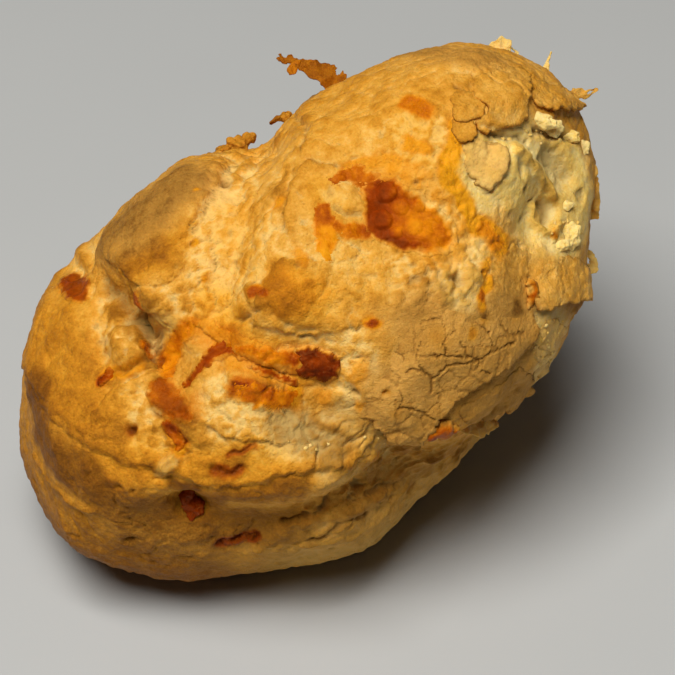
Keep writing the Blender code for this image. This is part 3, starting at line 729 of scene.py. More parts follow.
BACK_TINTS = {
    "brown": (
        (0.74, 5.0, ((-14.0, 12.0), (-4.0, 16.0))),
        (0.66, 4.0, ((10.0, -3.0), (15.0, 4.0))),
    ),
    "gold": (
        (0.60, 5.0, ((0.0, 20.0), (12.0, 18.0))),
    ),
    "matte": (
        (0.80, 5.0, ((19.0, 8.0), (21.0, -3.0))),
    ),
    "crumb": (
        (0.45, 1.4, ((-8.0, 9.0), (-1.0, 9.6), (5.0, 7.4))),
    ),
    "cheese": (
        (1.00, 1.3, ((4.4, 13.0), (7.0, 13.6))),
        (0.80, 1.8, ((2.6, 12.6), (8.4, 13.4))),
        (0.90, 1.0, ((-19.0, 8.4), (-17.6, 7.4))),
        (0.85, 0.9, ((12.0, -6.4), (13.6, -5.0))),
        (0.90, 0.7, ((-4.0, -1.0),)),
    ),
    "scorch": (
        (0.60, 1.4, ((4.4, 13.0), (7.0, 13.6))),
        (0.65, 1.2, ((-19.0, 8.4), (-17.6, 7.4))),
    ),
    "wrinkled": (
        (0.8, 4.0, ((-16.0, 2.0), (-6.0, 4.0))),
    ),
    "flaky": (
        (0.8, 3.6, ((12.0, -9.0), (19.0, -4.0))),
    ),
    "curdled": (
        (0.9, 4.0, ((-3.0, 4.0), (5.0, 4.0))),
    ),
    "pale": (
        (0.8, 3.4, ((-3.0, 4.0), (5.0, 4.0))),
        (0.6, 2.4, ((18.0, 12.0), (20.0, 5.0))),
    ),
    "streaked": (
        (0.8, 5.0, ((-16.0, 14.0), (-4.0, 18.0))),
    ),
    "calm": (
        (0.8, 4.0, ((17.0, 6.0),)),
    ),
}


def dress_side(skin, grooves, swells, tints, ledges, side):
    """Everything one side shows, one feature at a time."""
    for width, depth, painted_shade, path in grooves.values():
        skin.groove(path, width, depth, painted_shade, side)
    for rise, reach, rim, path in swells.values():
        skin.swell(path, rise, reach, side, rim)
    for name, rows in tints.items():
        for strength, reach, path in rows:
            skin.tint(name, path, strength, reach, side)
    for rise, reach, painted_shade, soft, path in ledges.values():
        skin.ledge(path, rise, reach, painted_shade, soft, side)


def dress(skin):
    """The features of both sides."""
    for width, depth, place in FACE_PITS.values():
        # Every pit gets painted shade in it.
        skin.groove((place,), 1.15 * width, 1.3 * depth, 0.9)
    dress_side(skin, FACE_GROOVES, FACE_SWELLS, {**FACE_TINTS, **FACE_REGIONS}, FACE_LEDGES, FACE)
    dress_side(skin, BACK_GROOVES, BACK_SWELLS, BACK_TINTS, BACK_LEDGES, BACK)


def stretched(points, way, factor):
    """Points squeezed along a way over the face, so that noise read there is drawn out along it."""
    way = unit(np.array((*way, 0.0)))
    return points - (1.0 - 1.0 / factor) * np.outer(points @ way, way)


def valleys(values, width):
    """1 where the values cross zero, falling to 0 at width on both sides: thin wandering lines."""
    return np.clip(1.0 - np.abs(values) / width, 0.0, 1.0) ** 1.5


def terraces(values, steps, edge):
    """Values brought to flat steps with short steep edges between them."""
    scaled = values * steps
    floor = np.floor(scaled)
    return (floor + ramp(scaled - floor, 1.0 - edge, 1.0)) / steps


def base_looks(skin):
    """Broad lumps and dents, and colour browner low down and towards the left end, where the lobes are."""
    points = skin.points
    skin.height += 0.34 * BROAD(points, 6.5) + 0.20 * BROAD(points + 50.0, 3.4)
    low = ramp(-points @ WORLD_UP, 2.0, 20.0)
    left = ramp(points @ np.array(BROWNER_WAY), 8.0, 32.0)
    right = ramp(points[:, 0], -14.0, 0.0)
    patchy = 0.35 + 0.10 * BROAD.layered(points, 8.0, 2)
    skin.fields["brown"] += patchy + low * (0.36 - 0.20 * right) + 0.20 * left
    skin.fields["matte"] += 0.95 * low * right
    skin.fields["crumb"] += 0.30 * low * right


def rough_skin(skin):
    """Bumps, wrinkles and pores of the baked dough, each stronger where its region says so."""
    points = skin.points
    whole = 1.0 - ramp(skin.fields["crumb"], 0.4, 1.0)
    calm = whole * (1.0 - 0.75 * skin.regions["calm"])
    skin.height += calm * (0.20 * FINE(points, 2.0) + 0.13 * FINE(points, 1.1) + 0.07 * WARP(points, 0.6))
    fold = valleys(BROAD(skin.ragged, 4.2), 0.10) * ramp(BROAD(points + 70.0, 4.0), -0.15, 0.3)
    skin.height -= calm * 0.26 * fold
    wrinkled = whole * skin.regions["wrinkled"]
    drawn = stretched(skin.ragged, (0.15, 1.0), 2.6)
    skin.height += wrinkled * (0.36 * FINE(drawn, 1.9) + 0.20 * FINE(drawn + 9.0, 0.9))
    skin.height -= wrinkled * 0.25 * valleys(WARP(drawn, 2.4), 0.10)
    curdled = whole * skin.regions["curdled"]
    clots = 0.20 * FINE(skin.ragged + 30.0, 1.2) + 0.16 * WARP(skin.ragged + 30.0, 0.7)
    skin.height += curdled * clots
    skin.fields["brown"] += curdled * (0.9 * clots - 0.03)
    streaked = whole * skin.regions["streaked"]
    drawn = stretched(skin.ragged, (0.87, 0.50), 4.0)
    skin.height += streaked * (0.16 * FINE(drawn, 1.3) + 0.07 * FINE(drawn + 5.0, 0.6))
    flaky = whole * skin.regions["flaky"]
    drawn = stretched(skin.ragged, (0.90, 0.43), 3.2)
    layers = BROAD(drawn, 3.4) + 0.35 * FINE(drawn, 1.3)
    skin.height += flaky * (1.1 * terraces(layers, 3.0, 0.22) + 0.14 * FINE(drawn, 0.8))
    first, _, value = CELLS(skin.ragged, 1.5)
    often = 0.90 - 0.22 * skin.regions["wrinkled"] + 0.08 * skin.regions["calm"]
    pore = ramp(0.36 - first / 1.5, 0.0, 0.22) * (value > often) * whole
    skin.height -= 0.22 * pore
    # Painted shade in the pores.
    skin.add("painted_shade", slice(None), 0.40 * pore)


def torn_crumb(skin):
    """The open crumb: drawn-out membranes and folds with holes between them."""
    crumb = ramp(skin.fields["crumb"], 0.4, 1.0)
    drawn = stretched(skin.points + 0.9 * WARP.vectors(skin.points, 2.6), (-0.25, 1.0), 3.0)
    folds = 1.0 - 2.0 * np.abs(FINE(drawn, 4.0))
    strands = 0.5 - np.abs(FINE(drawn + 9.0, 1.1))
    tatters = FINE(skin.ragged, 0.7)
    first, _, value = CELLS(skin.ragged + 40.0, 2.2)
    hole = ramp(0.46 - first / 2.2, 0.0, 0.22) * (value > 0.80)
    skin.height += crumb * (0.18 * folds + 0.08 * strands + 0.08 * tatters - 0.10 - 0.40 * hole)
    # Painted shade in the holes and between the folds.
    skin.add("painted_shade", slice(None), crumb * np.maximum(0.45 * hole, 0.10 * ramp(-folds, -0.3, 0.5)))


def bake(skin):
    """Browns what stands out, pales what lies deep, and paints shade into the creases and hollows."""
    near = spread(skin.height, skin.edges, 12)
    wide = spread(near, skin.edges, 90)
    fine = skin.height - near
    broad = near - wide
    rise = np.clip(1.3 * fine, -0.20, 0.24) + np.clip(0.60 * broad, -0.24, 0.24)
    blotch = ramp(BROAD.layered(skin.wavy + 20.0, 4.5, 3), 0.02, 0.20) - 0.4
    brown = skin.fields["brown"] - 0.26 * skin.regions["pale"]
    skin.fields["brown"] = np.minimum(brown + (rise + 0.08 * blotch) * (1.15 - brown), MOST_BROWN)
    firm = 1.0 - 0.6 * ramp(skin.fields["crumb"], 0.4, 1.0)
    # Painted shade in fine creases and in broad hollows.
    skin.add("painted_shade", slice(None), 0.55 * firm * ramp(-fine, 0.05, 0.30))
    skin.add("painted_shade", slice(None), 0.35 * firm * ramp(-broad, 0.18, 0.80))


def settle(skin):
    """The skin's finished points, kept on the table, and the normals there."""
    points = skin.points + skin.height[:, None] * skin.normals
    world = to_world(points)
    world[:, 2] = np.maximum(world[:, 2], 0.0)
    points = to_own(world)
    return points, point_normals(points, skin.quads)


def make_object(name, points, faces, fields=None, normals=None):
    """A smooth-shaded object from own-frame points, riding on the bun, with its fields as attributes."""
    mesh = bpy.data.meshes.new(name)
    mesh.from_pydata(to_world(points).tolist(), [], [tuple(face) for face in np.asarray(faces).tolist()])
    mesh.shade_smooth()
    for label, values in (fields or {}).items():
        layer = mesh.attributes.new(label, "FLOAT", "POINT")
        layer.data.foreach_set("value", np.asarray(values, np.float32))
    if normals is not None:
        mesh.normals_split_custom_set_from_vertices((normals @ AXES).tolist())
    made = bpy.data.objects.new(name, mesh)
    bpy.context.scene.collection.objects.link(made)
    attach(made, "root")
    return made


def add_skin(skin, points, normals, crust):
    """The skin in two pieces, face and back, that meet point to point."""
    for name, part in (("crust_face", skin.front), ("crust_back", ~skin.front)):
        quads = skin.quads[part]
        used, faces = np.unique(quads, return_inverse=True)
        fields = {label: values[used] for label, values in skin.fields.items()}
        made = make_object(name, points[used], faces.reshape(quads.shape), fields, normals[used])
        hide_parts("bun")
        finish_crust(made, crust)


# ---- pieces laid on the finished skin ----------------------------------------------------------------

def grid_shell(name, top, bottom, keep, fields):
    """A closed shell from two sheets of points over the same grid, for the grid cells kept."""
    used = np.zeros(top.shape[:2], bool)
    for rows, columns in itertools.product((slice(None, -1), slice(1, None)), repeat=2):
        used[rows, columns] |= keep
    count = int(used.sum())
    index = np.full(top.shape[:2], -1)
    index[used] = np.arange(count)
    a, b, c, d = index[:-1, :-1], index[1:, :-1], index[1:, 1:], index[:-1, 1:]
    faces = np.stack([part[keep] for part in (a, b, c, d)], axis=1)
    faces = [faces, faces[:, ::-1] + count]
    padded = np.pad(keep, 1)
    beside = {(0, -1): (a, b), (1, 0): (b, c), (0, 1): (c, d), (-1, 0): (d, a)}
    for (right, up), (start, end) in beside.items():
        bare = keep & ~padded[1 + right:padded.shape[0] - 1 + right, 1 + up:padded.shape[1] - 1 + up]
        start, end = start[bare], end[bare]
        faces.append(np.stack((end, start, start + count, end + count), axis=1))
    points = np.concatenate((top[used], bottom[used]))
    doubled = {label: np.concatenate((values[used], values[used])) for label, values in fields.items()}
    return make_object(name, points, np.concatenate(faces), doubled)


def line_gap(places, line):
    """Distance from places on a flat grid to a line on it."""
    return nearest_on(places.reshape(-1, 2), line)[0].reshape(places.shape[:-1])


def outline_gap(places, outline):
    """How far places lie inside a closed outline, or outside it where negative."""
    closed = np.concatenate((outline, outline[:1]))
    gap = line_gap(places, closed)
    inside = np.zeros(places.shape[:-1], bool)
    for start, end in zip(closed, closed[1:]):
        rises = (start[1] > places[..., 1]) != (end[1] > places[..., 1])
        height = end[1] - start[1] if abs(end[1] - start[1]) > TINY else TINY
        across = (end[0] - start[0]) / height
        inside ^= rises & (places[..., 0] < start[0] + (places[..., 1] - start[1]) * across)
    return np.where(inside, gap, -gap)


class Ground:
    """A flat grid over part of the face's finished skin, on which a patch is drawn."""

    def __init__(self, path, margin, step, closed=True):
        spots = on_skin(path)
        self.middle = spots.mean(axis=0)
        self.off = unit(sum(np.array(BUN.find_nearest(Vector(spot))[1]) for spot in spots))
        self.first = unit(np.cross((0.0, 1.0, 0.0), self.off))
        self.second = np.cross(self.off, self.first)
        self.line = (spots - self.middle) @ np.stack((self.first, self.second), axis=1)
        if closed:
            self.line = smooth_path(np.concatenate((self.line, self.line[:1])), 0.9)[:-1]
        elif len(self.line) > 1:
            self.line = smooth_path(self.line, 0.9)
        low = self.line.min(axis=0) - margin
        high = self.line.max(axis=0) + margin
        ticks = [np.arange(low[axis], high[axis] + step, step) for axis in (0, 1)]
        self.step = step
        self.flat = np.stack(np.meshgrid(*ticks, indexing="ij"), axis=-1)

    def solid(self, flat):
        """Points of the flat grid in the bun's own frame."""
        return self.middle + flat[..., :1] * self.first + flat[..., 1:] * self.second

    def onto(self, spot):
        """A point moved straight onto the flat grid's plane."""
        return spot - ((spot - self.middle) @ self.off) * self.off

    def flat_path(self, path):
        """A path over the face as places on the flat grid."""
        spots = on_skin(smooth_path(path)) - self.middle
        return spots @ np.stack((self.first, self.second), axis=1)

    def noise(self, source, size):
        """Noise over the grid."""
        points = self.solid(self.flat).reshape(-1, 3)
        return source(points, size).reshape(self.flat.shape[:2])

    def wavy(self, amount, size=1.2):
        """The grid's places pushed about, for a ragged outline."""
        first = self.noise(WARP, size) + 0.5 * self.noise(FINE, 0.45 * size)
        second = self.noise(BROAD, size) + 0.5 * self.noise(WARP, 0.4 * size)
        return self.flat + amount * np.stack((first, second), axis=-1)

    def inside(self, amount, size=1.2):
        """How far each place is inside the outline."""
        return outline_gap(self.wavy(amount, size), self.line)

    def along(self, amount):
        """Distance from the path, and how far along it the nearest point is, from 0 to 1."""
        gap, _, _, stretch = nearest_on(self.wavy(amount).reshape(-1, 2), self.line)
        shape = self.flat.shape[:2]
        return gap.reshape(shape), stretch.reshape(shape) / max(len(self.line) - 1, 1)

    def grounded(self, flat, wanted):
        """The skin's points straight under the grid where it is wanted, and the quad that each lies in."""
        above = self.solid(flat) + CLEAR_OF_SKIN * self.off
        ground = np.zeros(above.shape)
        face = np.zeros(wanted.shape, int)
        for spot in np.argwhere(wanted):
            spot = tuple(spot)
            hit = SKIN_TREE.ray_cast(Vector(above[spot]), Vector(-self.off))
            if hit[0] is None or hit[3] > 2.0 * CLEAR_OF_SKIN:
                hit = SKIN_TREE.find_nearest(Vector(above[spot] - CLEAR_OF_SKIN * self.off))
            ground[spot] = hit[0]
            face[spot] = hit[2]
        return ground, face

    def lay(self, name, inside, lift, thickness, fields, borrow=False, over=()):
        """Makes the patch: a shell whose top stands lift over the skin, out to where inside falls to nothing.

        It takes the skin's own colours where it borrows, and never falls below them in those named in over.
        """
        corner = inside > 0.0
        keep = corner[:-1, :-1] & corner[1:, :-1] & corner[:-1, 1:] & corner[1:, 1:]
        around = np.zeros(corner.shape, int)
        for rows, columns in itertools.product((slice(None, -1), slice(1, None)), repeat=2):
            around[rows, columns] += keep
        slope = np.stack(np.gradient(inside, self.step), axis=-1)
        size = np.maximum((slope ** 2).sum(axis=-1), 0.25)
        shift = np.clip(inside / size, 0.0, self.step)[..., None] * slope
        flat = self.flat - np.where(((around > 0) & (around < 4))[..., None], shift, 0.0)
        ground, face = self.grounded(flat, around > 0)
        top = ground + lift[..., None] * self.off
        bottom = top - np.broadcast_to(thickness, corner.shape)[..., None] * self.off
        own = {}
        for label in Skin.COLOURS:
            own[label] = np.zeros(corner.shape)
            if borrow:
                own[label] = skin.fields[label][skin.quads[face]].mean(axis=-1)
            if label in fields:
                value = np.broadcast_to(fields[label], corner.shape).astype(float)
                own[label] = np.maximum(own[label], value) if label in over else value
        return grid_shell(name, top, bottom, keep, own)


def melt(name, path, radii, rise, heat, lumps, soak, ragged=0.35, closed=False, clear=1.0):
    """Melted cheese on the skin: a thin film inside an outline, or along a path of the given half widths."""
    ground = Ground(path, 1.4 + max(radii), MELT_STEP, closed)
    if closed:
        inside = ground.inside(ragged)
        share = np.zeros(inside.shape)
        across = radii[0]
    else:
        gap, share = ground.along(ragged)
        across = read_along(share, radii)
        inside = across - gap
    inside = inside + 0.16 * ground.noise(FINE, 0.6)
    round_edge = dome(1.0 - np.clip(inside / across, 0.0, 1.0))
    amount, size = lumps
    bubbles = amount * (ground.noise(FINE, size) + 0.5 * ground.noise(BROAD, 0.5 * size))
    tall = read_along(share, rise)
    lift = -0.10 + round_edge * (tall + np.maximum(bubbles, -0.5 * tall))
    warm = read_along(share, heat) + 0.16 * ground.noise(BROAD, 1.8) + 0.12 * ground.noise(FINE, 0.8)
    soaked = ramp(inside + 0.25 * ground.noise(WARP, 0.9), 0.0, soak)
    colours = {"cheese": clear * soaked, "scorch": warm, "painted_shade": 0.0}
    return ground.lay(name, inside, lift, 0.25 + round_edge * 0.3, colours, borrow=True, over=("cheese",))


def flake(name, spine, widths, way, thickness, fields, ragged, curl, holes=0.0, seed=0.0):
    """A thin crisp standing free: a ragged ribbon along a spine of own-frame points, way giving its width."""
    spine = smooth_path(spine, CRISP_STEP)
    across = np.linspace(-1.0, 1.0, max(4, int(2.0 * max(widths) / CRISP_STEP)))
    half = read_along(np.linspace(0.0, 1.0, len(spine)), widths)
    way = unit(np.asarray(way, float))
    face = unit(np.cross(unit(np.gradient(spine, axis=0)), way))
    line = np.repeat(spine[:, None], len(across), axis=1)
    probe = (line + across[None, :, None] * way).reshape(-1, 3) + seed
    rough = (0.6 * WARP(probe, 1.1) + 0.4 * FINE(probe, 0.45)).reshape(line.shape[:2])
    reach = half[:, None] * across * (1.0 + ragged * rough / np.maximum(half[:, None], 0.3))
    lift = curl * (BROAD(probe, 1.6) + 0.4 * FINE(probe, 0.7)).reshape(line.shape[:2])
    middle = line + reach[..., None] * way + lift[..., None] * face[:, None]
    thick = thickness * (1.0 - 0.6 * np.abs(across)) * np.ones(line.shape[:2])
    top = middle + 0.5 * thick[..., None] * face[:, None]
    bottom = middle - 0.5 * thick[..., None] * face[:, None]
    first, _, value = CELLS(probe, 1.3)
    gone = ((first < 0.45) & (value < holes)).reshape(line.shape[:2])
    keep = ~(gone[:-1, :-1] | gone[1:, 1:])
    shape = {label: np.zeros(line.shape[:2]) for label in Skin.COLOURS}
    for label, value in fields.items():
        shape[label] = np.full(line.shape[:2], value) + 0.12 * rough * (value > 0.0)
    return grid_shell(name, top, bottom, keep, shape)


def nuggets(name, spots, seed, fields, cells=5, flat=False):
    """Lumpy little pieces: each spot is an own-frame point with three half sizes."""
    ball, quads = cube_grid(cells)
    points, faces, colours = [], [], []
    draw = np.random.default_rng(seed)
    for place, (centre, sizes) in enumerate(spots):
        axis = (0.0, 0.0, 1.0) if flat else draw.normal(size=3)
        angle = draw.uniform(-0.4, 0.4) if flat else draw.uniform(0.0, math.tau)
        turn = Matrix.Rotation(angle, 3, Vector(axis))
        probe = ball * np.asarray(sizes) if flat else ball * 1.7
        rough = 0.35 * WARP(probe + 13.0 * place, 1.0) + 0.18 * FINE(probe + place, 0.45)
        lumpy = ball * (1.0 + rough)[:, None]
        points.append(lumpy * np.asarray(sizes) @ np.array(turn) + centre)
        faces.append(quads + place * len(ball))
        colours.append(np.full(len(ball), draw.uniform(-0.12, 0.12)))
    colours = np.concatenate(colours)
    shades = {label: colours + fields[label] if label in fields else 0.0 * colours for label in Skin.COLOURS}
    return make_object(name, np.concatenate(points), np.concatenate(faces), shades)


# ---- materials -------------------------------------------------------------------------------------

# The colour sockets of Blender's Mix node, which share their names with others
MIX_LOW = 6
MIX_HIGH = 7
MIX_COLOUR = 2


class Paint:
    """A node material under construction."""

    def __init__(self, name):
        self.material = bpy.data.materials.new(name)
        self.material.use_nodes = True
        self.nodes = self.material.node_tree.nodes
        self.links = self.material.node_tree.links
        self.shader = self.nodes["Principled BSDF"]
        self.place = self.nodes.new("ShaderNodeTexCoord").outputs["Object"]

    def put(self, node, socket, value):
        """Sets an input to a value or links it to an output."""
        target = node.inputs[socket]
        if isinstance(value, bpy.types.NodeSocket):
            self.links.new(value, target)
        else:
            target.default_value = value

    def field(self, name):
        """One of the mesh's own fields."""
        node = self.nodes.new("ShaderNodeAttribute")
        node.attribute_name = name
        return node.outputs["Fac"]

    def noise(self, size, detail=3.0, roughness=0.55, warp=0.0):
        """Noise with features about size millimetres across."""
        node = self.nodes.new("ShaderNodeTexNoise")
        self.put(node, "Vector", self.place)
        self.put(node, "Scale", 1.0 / (size * MM))
        self.put(node, "Detail", detail)
        self.put(node, "Roughness", roughness)
        self.put(node, "Distortion", warp)
        return node.outputs["Fac"]

    def cells(self, size):
        """Distance to scattered points about size millimetres apart."""
        node = self.nodes.new("ShaderNodeTexVoronoi")
        self.put(node, "Vector", self.place)
        self.put(node, "Scale", 1.0 / (size * MM))
        return node.outputs["Distance"]

    def maths(self, operation, *values, clamp=False):
        """A sum, product or other operation on values or outputs."""
        node = self.nodes.new("ShaderNodeMath")
        node.operation = operation
        node.use_clamp = clamp
        for place, value in enumerate(values):
            self.put(node, place, value)
        return node.outputs[0]

    def blend(self, share, low, high, kind="MIX"):
        """Colour low where share is 0, high where it is 1."""
        node = self.nodes.new("ShaderNodeMix")
        node.data_type = "RGBA"
        node.blend_type = kind
        self.put(node, "Factor", share)
        self.put(node, MIX_LOW, low)
        self.put(node, MIX_HIGH, high)
        return node.outputs[MIX_COLOUR]

    def colours(self, share, stops):
        """A colour ramp."""
        node = self.nodes.new("ShaderNodeValToRGB")
        self.put(node, "Fac", share)
        parts = node.color_ramp.elements
        parts[0].position = stops[0][0]
        parts[0].color = (*stops[0][1], 1.0)
        parts[1].position = stops[-1][0]
        parts[1].color = (*stops[-1][1], 1.0)
        for at, colour in stops[1:-1]:
            parts.new(at).color = (*colour, 1.0)
        return node.outputs["Color"]

    def bump(self, height, depth, under=None):
        """Turns a height of 0 to 1 into relief that is depth millimetres deep."""
        node = self.nodes.new("ShaderNodeBump")
        self.put(node, "Strength", 1.0)
        self.put(node, "Distance", depth * MM)
        self.put(node, "Height", height)
        if under is not None:
            self.put(node, "Normal", under)
        return node.outputs["Normal"]


# Colour ramps from pale to burnt, as place and colour
DOUGH = ((0.0, (0.93, 0.60, 0.18)), (0.25, (0.84, 0.42, 0.065)), (0.45, (0.70, 0.305, 0.028)),
         (0.65, (0.50, 0.200, 0.013)), (0.82, (0.35, 0.128, 0.007)), (1.0, (0.23, 0.078, 0.004)))
GOLDEN = ((0.0, (0.88, 0.43, 0.035)), (0.25, (0.80, 0.34, 0.014)), (0.45, (0.66, 0.25, 0.007)),
          (0.65, (0.48, 0.165, 0.004)), (0.82, (0.32, 0.100, 0.003)), (1.0, (0.20, 0.055, 0.002)))
CRUMB = ((0.1, (0.56, 0.31, 0.042)), (0.4, (0.89, 0.54, 0.105)), (0.6, (0.95, 0.64, 0.165)),
         (0.85, (0.97, 0.75, 0.30)))
MATTE = ((0.1, (0.71, 0.36, 0.072)), (0.4, (0.56, 0.265, 0.043)), (0.7, (0.39, 0.178, 0.026)),
         (0.9, (0.22, 0.085, 0.009)))
CHEESE = ((0.0, (0.88, 0.36, 0.008)), (0.3, (0.72, 0.215, 0.002)), (0.5, (0.50, 0.105, 0.001)),
          (0.7, (0.31, 0.038, 0.0005)), (1.0, (0.12, 0.010, 0.0003)))
OILY = (0.95, 0.60, 0.03, 1.0)
# The colour that painted shade darkens towards, in creases, pits and under edges.
PAINTED_SHADE_COLOUR = (0.26, 0.17, 0.05, 1.0)
PINHOLE_SIZE = 0.75


def baked_colour(paint):
    """Baked dough, torn crumb, matte crust and melted cheese, each where the mesh's fields say, with painted
    shade over them.
    """
    patches = paint.maths("SUBTRACT", paint.noise(3.2, 5.0, 0.6, 0.4), 0.5)
    mottle = paint.maths("SUBTRACT", paint.noise(1.1, 5.0, 0.65, 0.3), 0.5)
    grain = paint.maths("SUBTRACT", paint.noise(0.30, 3.0, 0.65), 0.5)
    brown = paint.maths("MULTIPLY_ADD", patches, 0.34, paint.field("brown"))
    brown = paint.maths("MULTIPLY_ADD", mottle, 0.44, brown)
    brown = paint.maths("MULTIPLY_ADD", grain, 0.46, brown)
    dough = paint.colours(brown, DOUGH)
    dough = paint.blend(paint.field("gold"), dough, paint.colours(brown, GOLDEN))
    dough = paint.blend(paint.field("matte"), dough, paint.colours(brown, MATTE))
    flecks = paint.maths("MULTIPLY_ADD", paint.field("brown"), -0.9, 0.98)
    flecks = paint.maths("MULTIPLY_ADD", mottle, 0.7, flecks)
    flecks = paint.maths("MULTIPLY_ADD", grain, 0.7, flecks)
    dough = paint.blend(paint.field("crumb"), dough, paint.colours(flecks, CRUMB))
    heat = paint.maths("MULTIPLY_ADD", mottle, 0.35, paint.field("scorch"))
    heat = paint.maths("MULTIPLY_ADD", grain, 0.3, heat)
    dough = paint.blend(1.0, dough, paint.blend(paint.field("cheese"), WHITE, OILY), "MULTIPLY")
    covered = paint.maths("POWER", paint.field("cheese"), 2.0)
    dough = paint.blend(covered, dough, paint.colours(heat, CHEESE))
    # Painted shade: darker towards the crevice colour where the mesh's shade field says, and in the pinholes.
    shade = paint.blend(paint.field("painted_shade"), WHITE, PAINTED_SHADE_COLOUR)
    pinholes = paint.maths("LESS_THAN", paint.cells(PINHOLE_SIZE), 0.16)
    shade = paint.blend(paint.maths("MULTIPLY", pinholes, 0.16), shade, PAINTED_SHADE_COLOUR)
    return paint.blend(1.0, dough, shade, "MULTIPLY")


def baked_roughness(paint, oil):
    """Rough dough, rougher where it is matte, smoother by the share oil where cheese or crumb is moist."""
    shine = paint.maths("MAXIMUM", paint.field("cheese"),
                        paint.maths("MULTIPLY", paint.field("crumb"), 0.7))
    rough = paint.maths("MULTIPLY_ADD", shine, -oil, 0.50)
    rough = paint.maths("MULTIPLY_ADD", paint.field("matte"), 0.18, rough)
    rough = paint.maths("MULTIPLY_ADD", paint.noise(0.9), 0.26, rough)
    return paint.maths("SUBTRACT", rough, 0.10, clamp=True)


def baked_relief(paint, depth):
    """Fine grain, pinholes and small knobs, the knobs lower in the crumb."""
    grained = paint.bump(paint.noise(0.24, 4.0, 0.7), 0.13)
    grained = paint.bump(paint.maths("MINIMUM", paint.cells(PINHOLE_SIZE), 0.3), 0.12, grained)
    firm = paint.maths("MULTIPLY_ADD", paint.field("crumb"), -0.55, 1.0)
    knobbly = paint.maths("MULTIPLY", paint.noise(0.8, 5.0, 0.7), firm)
    return paint.bump(knobbly, depth, grained)


def dough_paint():
    """The dry baked dough, with what cheese has soaked into it."""
    paint = Paint("crust")
    paint.put(paint.shader, "Base Color", baked_colour(paint))
    paint.put(paint.shader, "Roughness", baked_roughness(paint, 0.24))
    paint.put(paint.shader, "Specular IOR Level", 0.18)
    paint.put(paint.shader, "Specular Tint", (1.0, 0.84, 0.58, 1.0))
    paint.put(paint.shader, "Normal", baked_relief(paint, 0.36))
    soften(paint)
    return paint.material


def cheese_paint():
    """Melted cheese, glossier and smoother, over the same dough."""
    paint = Paint("cheese")
    paint.put(paint.shader, "Base Color", baked_colour(paint))
    paint.put(paint.shader, "Roughness", baked_roughness(paint, 0.34))
    paint.put(paint.shader, "Specular IOR Level", 0.34)
    paint.put(paint.shader, "Specular Tint", (1.0, 0.55, 0.16, 1.0))
    paint.put(paint.shader, "Normal", baked_relief(paint, 0.20))
    soften(paint)
    return paint.material


def soften(paint):
    """Light that sinks a little way in, the red of it furthest."""
    paint.put(paint.shader, "Subsurface Weight", 0.10)
    paint.put(paint.shader, "Subsurface Radius", (1.0, 0.40, 0.12))
    paint.put(paint.shader, "Subsurface Scale", 0.9 * MM)


# ---- crust plates, cheese, crisps and crumbs ----------------------------------------------------------

def finish_crust(piece, crust):
    """Gives a piece of crust or crumb its material."""
    piece.data.materials.append(crust)


def finish_cheese(piece, cheese):
    """Gives a piece of cheese its material."""
    piece.data.materials.append(cheese)


# outline, rise at the free edge, the way that edge faces, thickness, colours
PLATES = {
    "plate_top": (((18.9, 26.6), (19.4, 28.2), (21.6, 29.4), (24.0, 30.2), (26.2, 28.8), (25.8, 26.2),
                   (25.4, 24.6), (25.1, 22.8), (23.0, 22.0), (20.7, 21.1), (19.4, 21.4), (19.1, 22.5),
                   (20.2, 23.6), (19.9, 25.1)),
                  0.95, (0.3, -1.0), 0.45, {}),
    "plate_side": (((16.7, 26.3), (20.0, 26.3), (20.2, 23.4), (18.6, 22.9), (16.8, 23.1)),
                   0.30, (-0.4, -1.0), 0.35, {"brown": 0.42}),
    "plate_small": (((16.6, 23.0), (19.0, 22.9), (19.2, 20.6), (16.8, 20.4)),
                    0.45, (0.2, -1.0), 0.30, {"brown": 0.50}),
    "plate_far": (((26.6, 28.4), (28.7, 28.2), (31.0, 27.7), (32.8, 26.8), (31.6, 25.0), (29.6, 24.6),
                   (27.9, 24.7), (26.4, 25.6)), 1.10, (0.3, -1.0), 0.45, {}),
    "plate_island": (((17.6, 20.2), (19.8, 20.6), (22.5, 19.6), (22.6, 17.6), (21.8, 15.9), (20.7, 14.4),
                      (19.2, 15.6), (18.2, 17.2)), 0.55, (1.0, -0.6), 0.35, {"brown": 0.24, "crumb": 0.25}),
    "plate_right": (((26.4, 0.4), (28.1, 0.6), (29.5, 1.4), (31.3, 1.7), (33.2, 2.2), (33.9, 4.0),
                     (33.2, 6.2), (31.4, 7.2), (29.0, 6.6), (27.2, 5.0), (26.3, 3.0)),
                    1.10, (0.5, -1.0), 0.55, {"brown": 0.30}),
    "plate_low": (((17.3, -10.9), (19.9, -9.6), (22.4, -8.1), (24.2, -6.8), (25.6, -6.5), (27.0, -7.4),
                   (26.6, -9.2), (25.0, -10.8), (23.2, -11.4), (21.1, -12.6), (18.2, -12.5),
                   (17.5, -11.8)),
                  1.10, (0.5, -1.0), 0.45, {"brown": 0.40, "matte": 0.90}),
    "plate_edge": (((27.4, -0.6), (29.6, -0.6), (31.2, -1.6), (30.8, -3.6), (29.0, -4.4), (27.6, -3.6),
                    (27.0, -2.2)),
                   0.35, (1.0, -0.3), 0.40, {"brown": 0.30, "crumb": 0.30}),
    "plate_edge_low": (((26.8, -4.6), (28.9, -4.8), (29.9, -6.6), (28.6, -8.2), (27.0, -7.2)),
                       0.30, (1.0, -0.5), 0.35, {"brown": 0.28, "crumb": 0.35}),
}

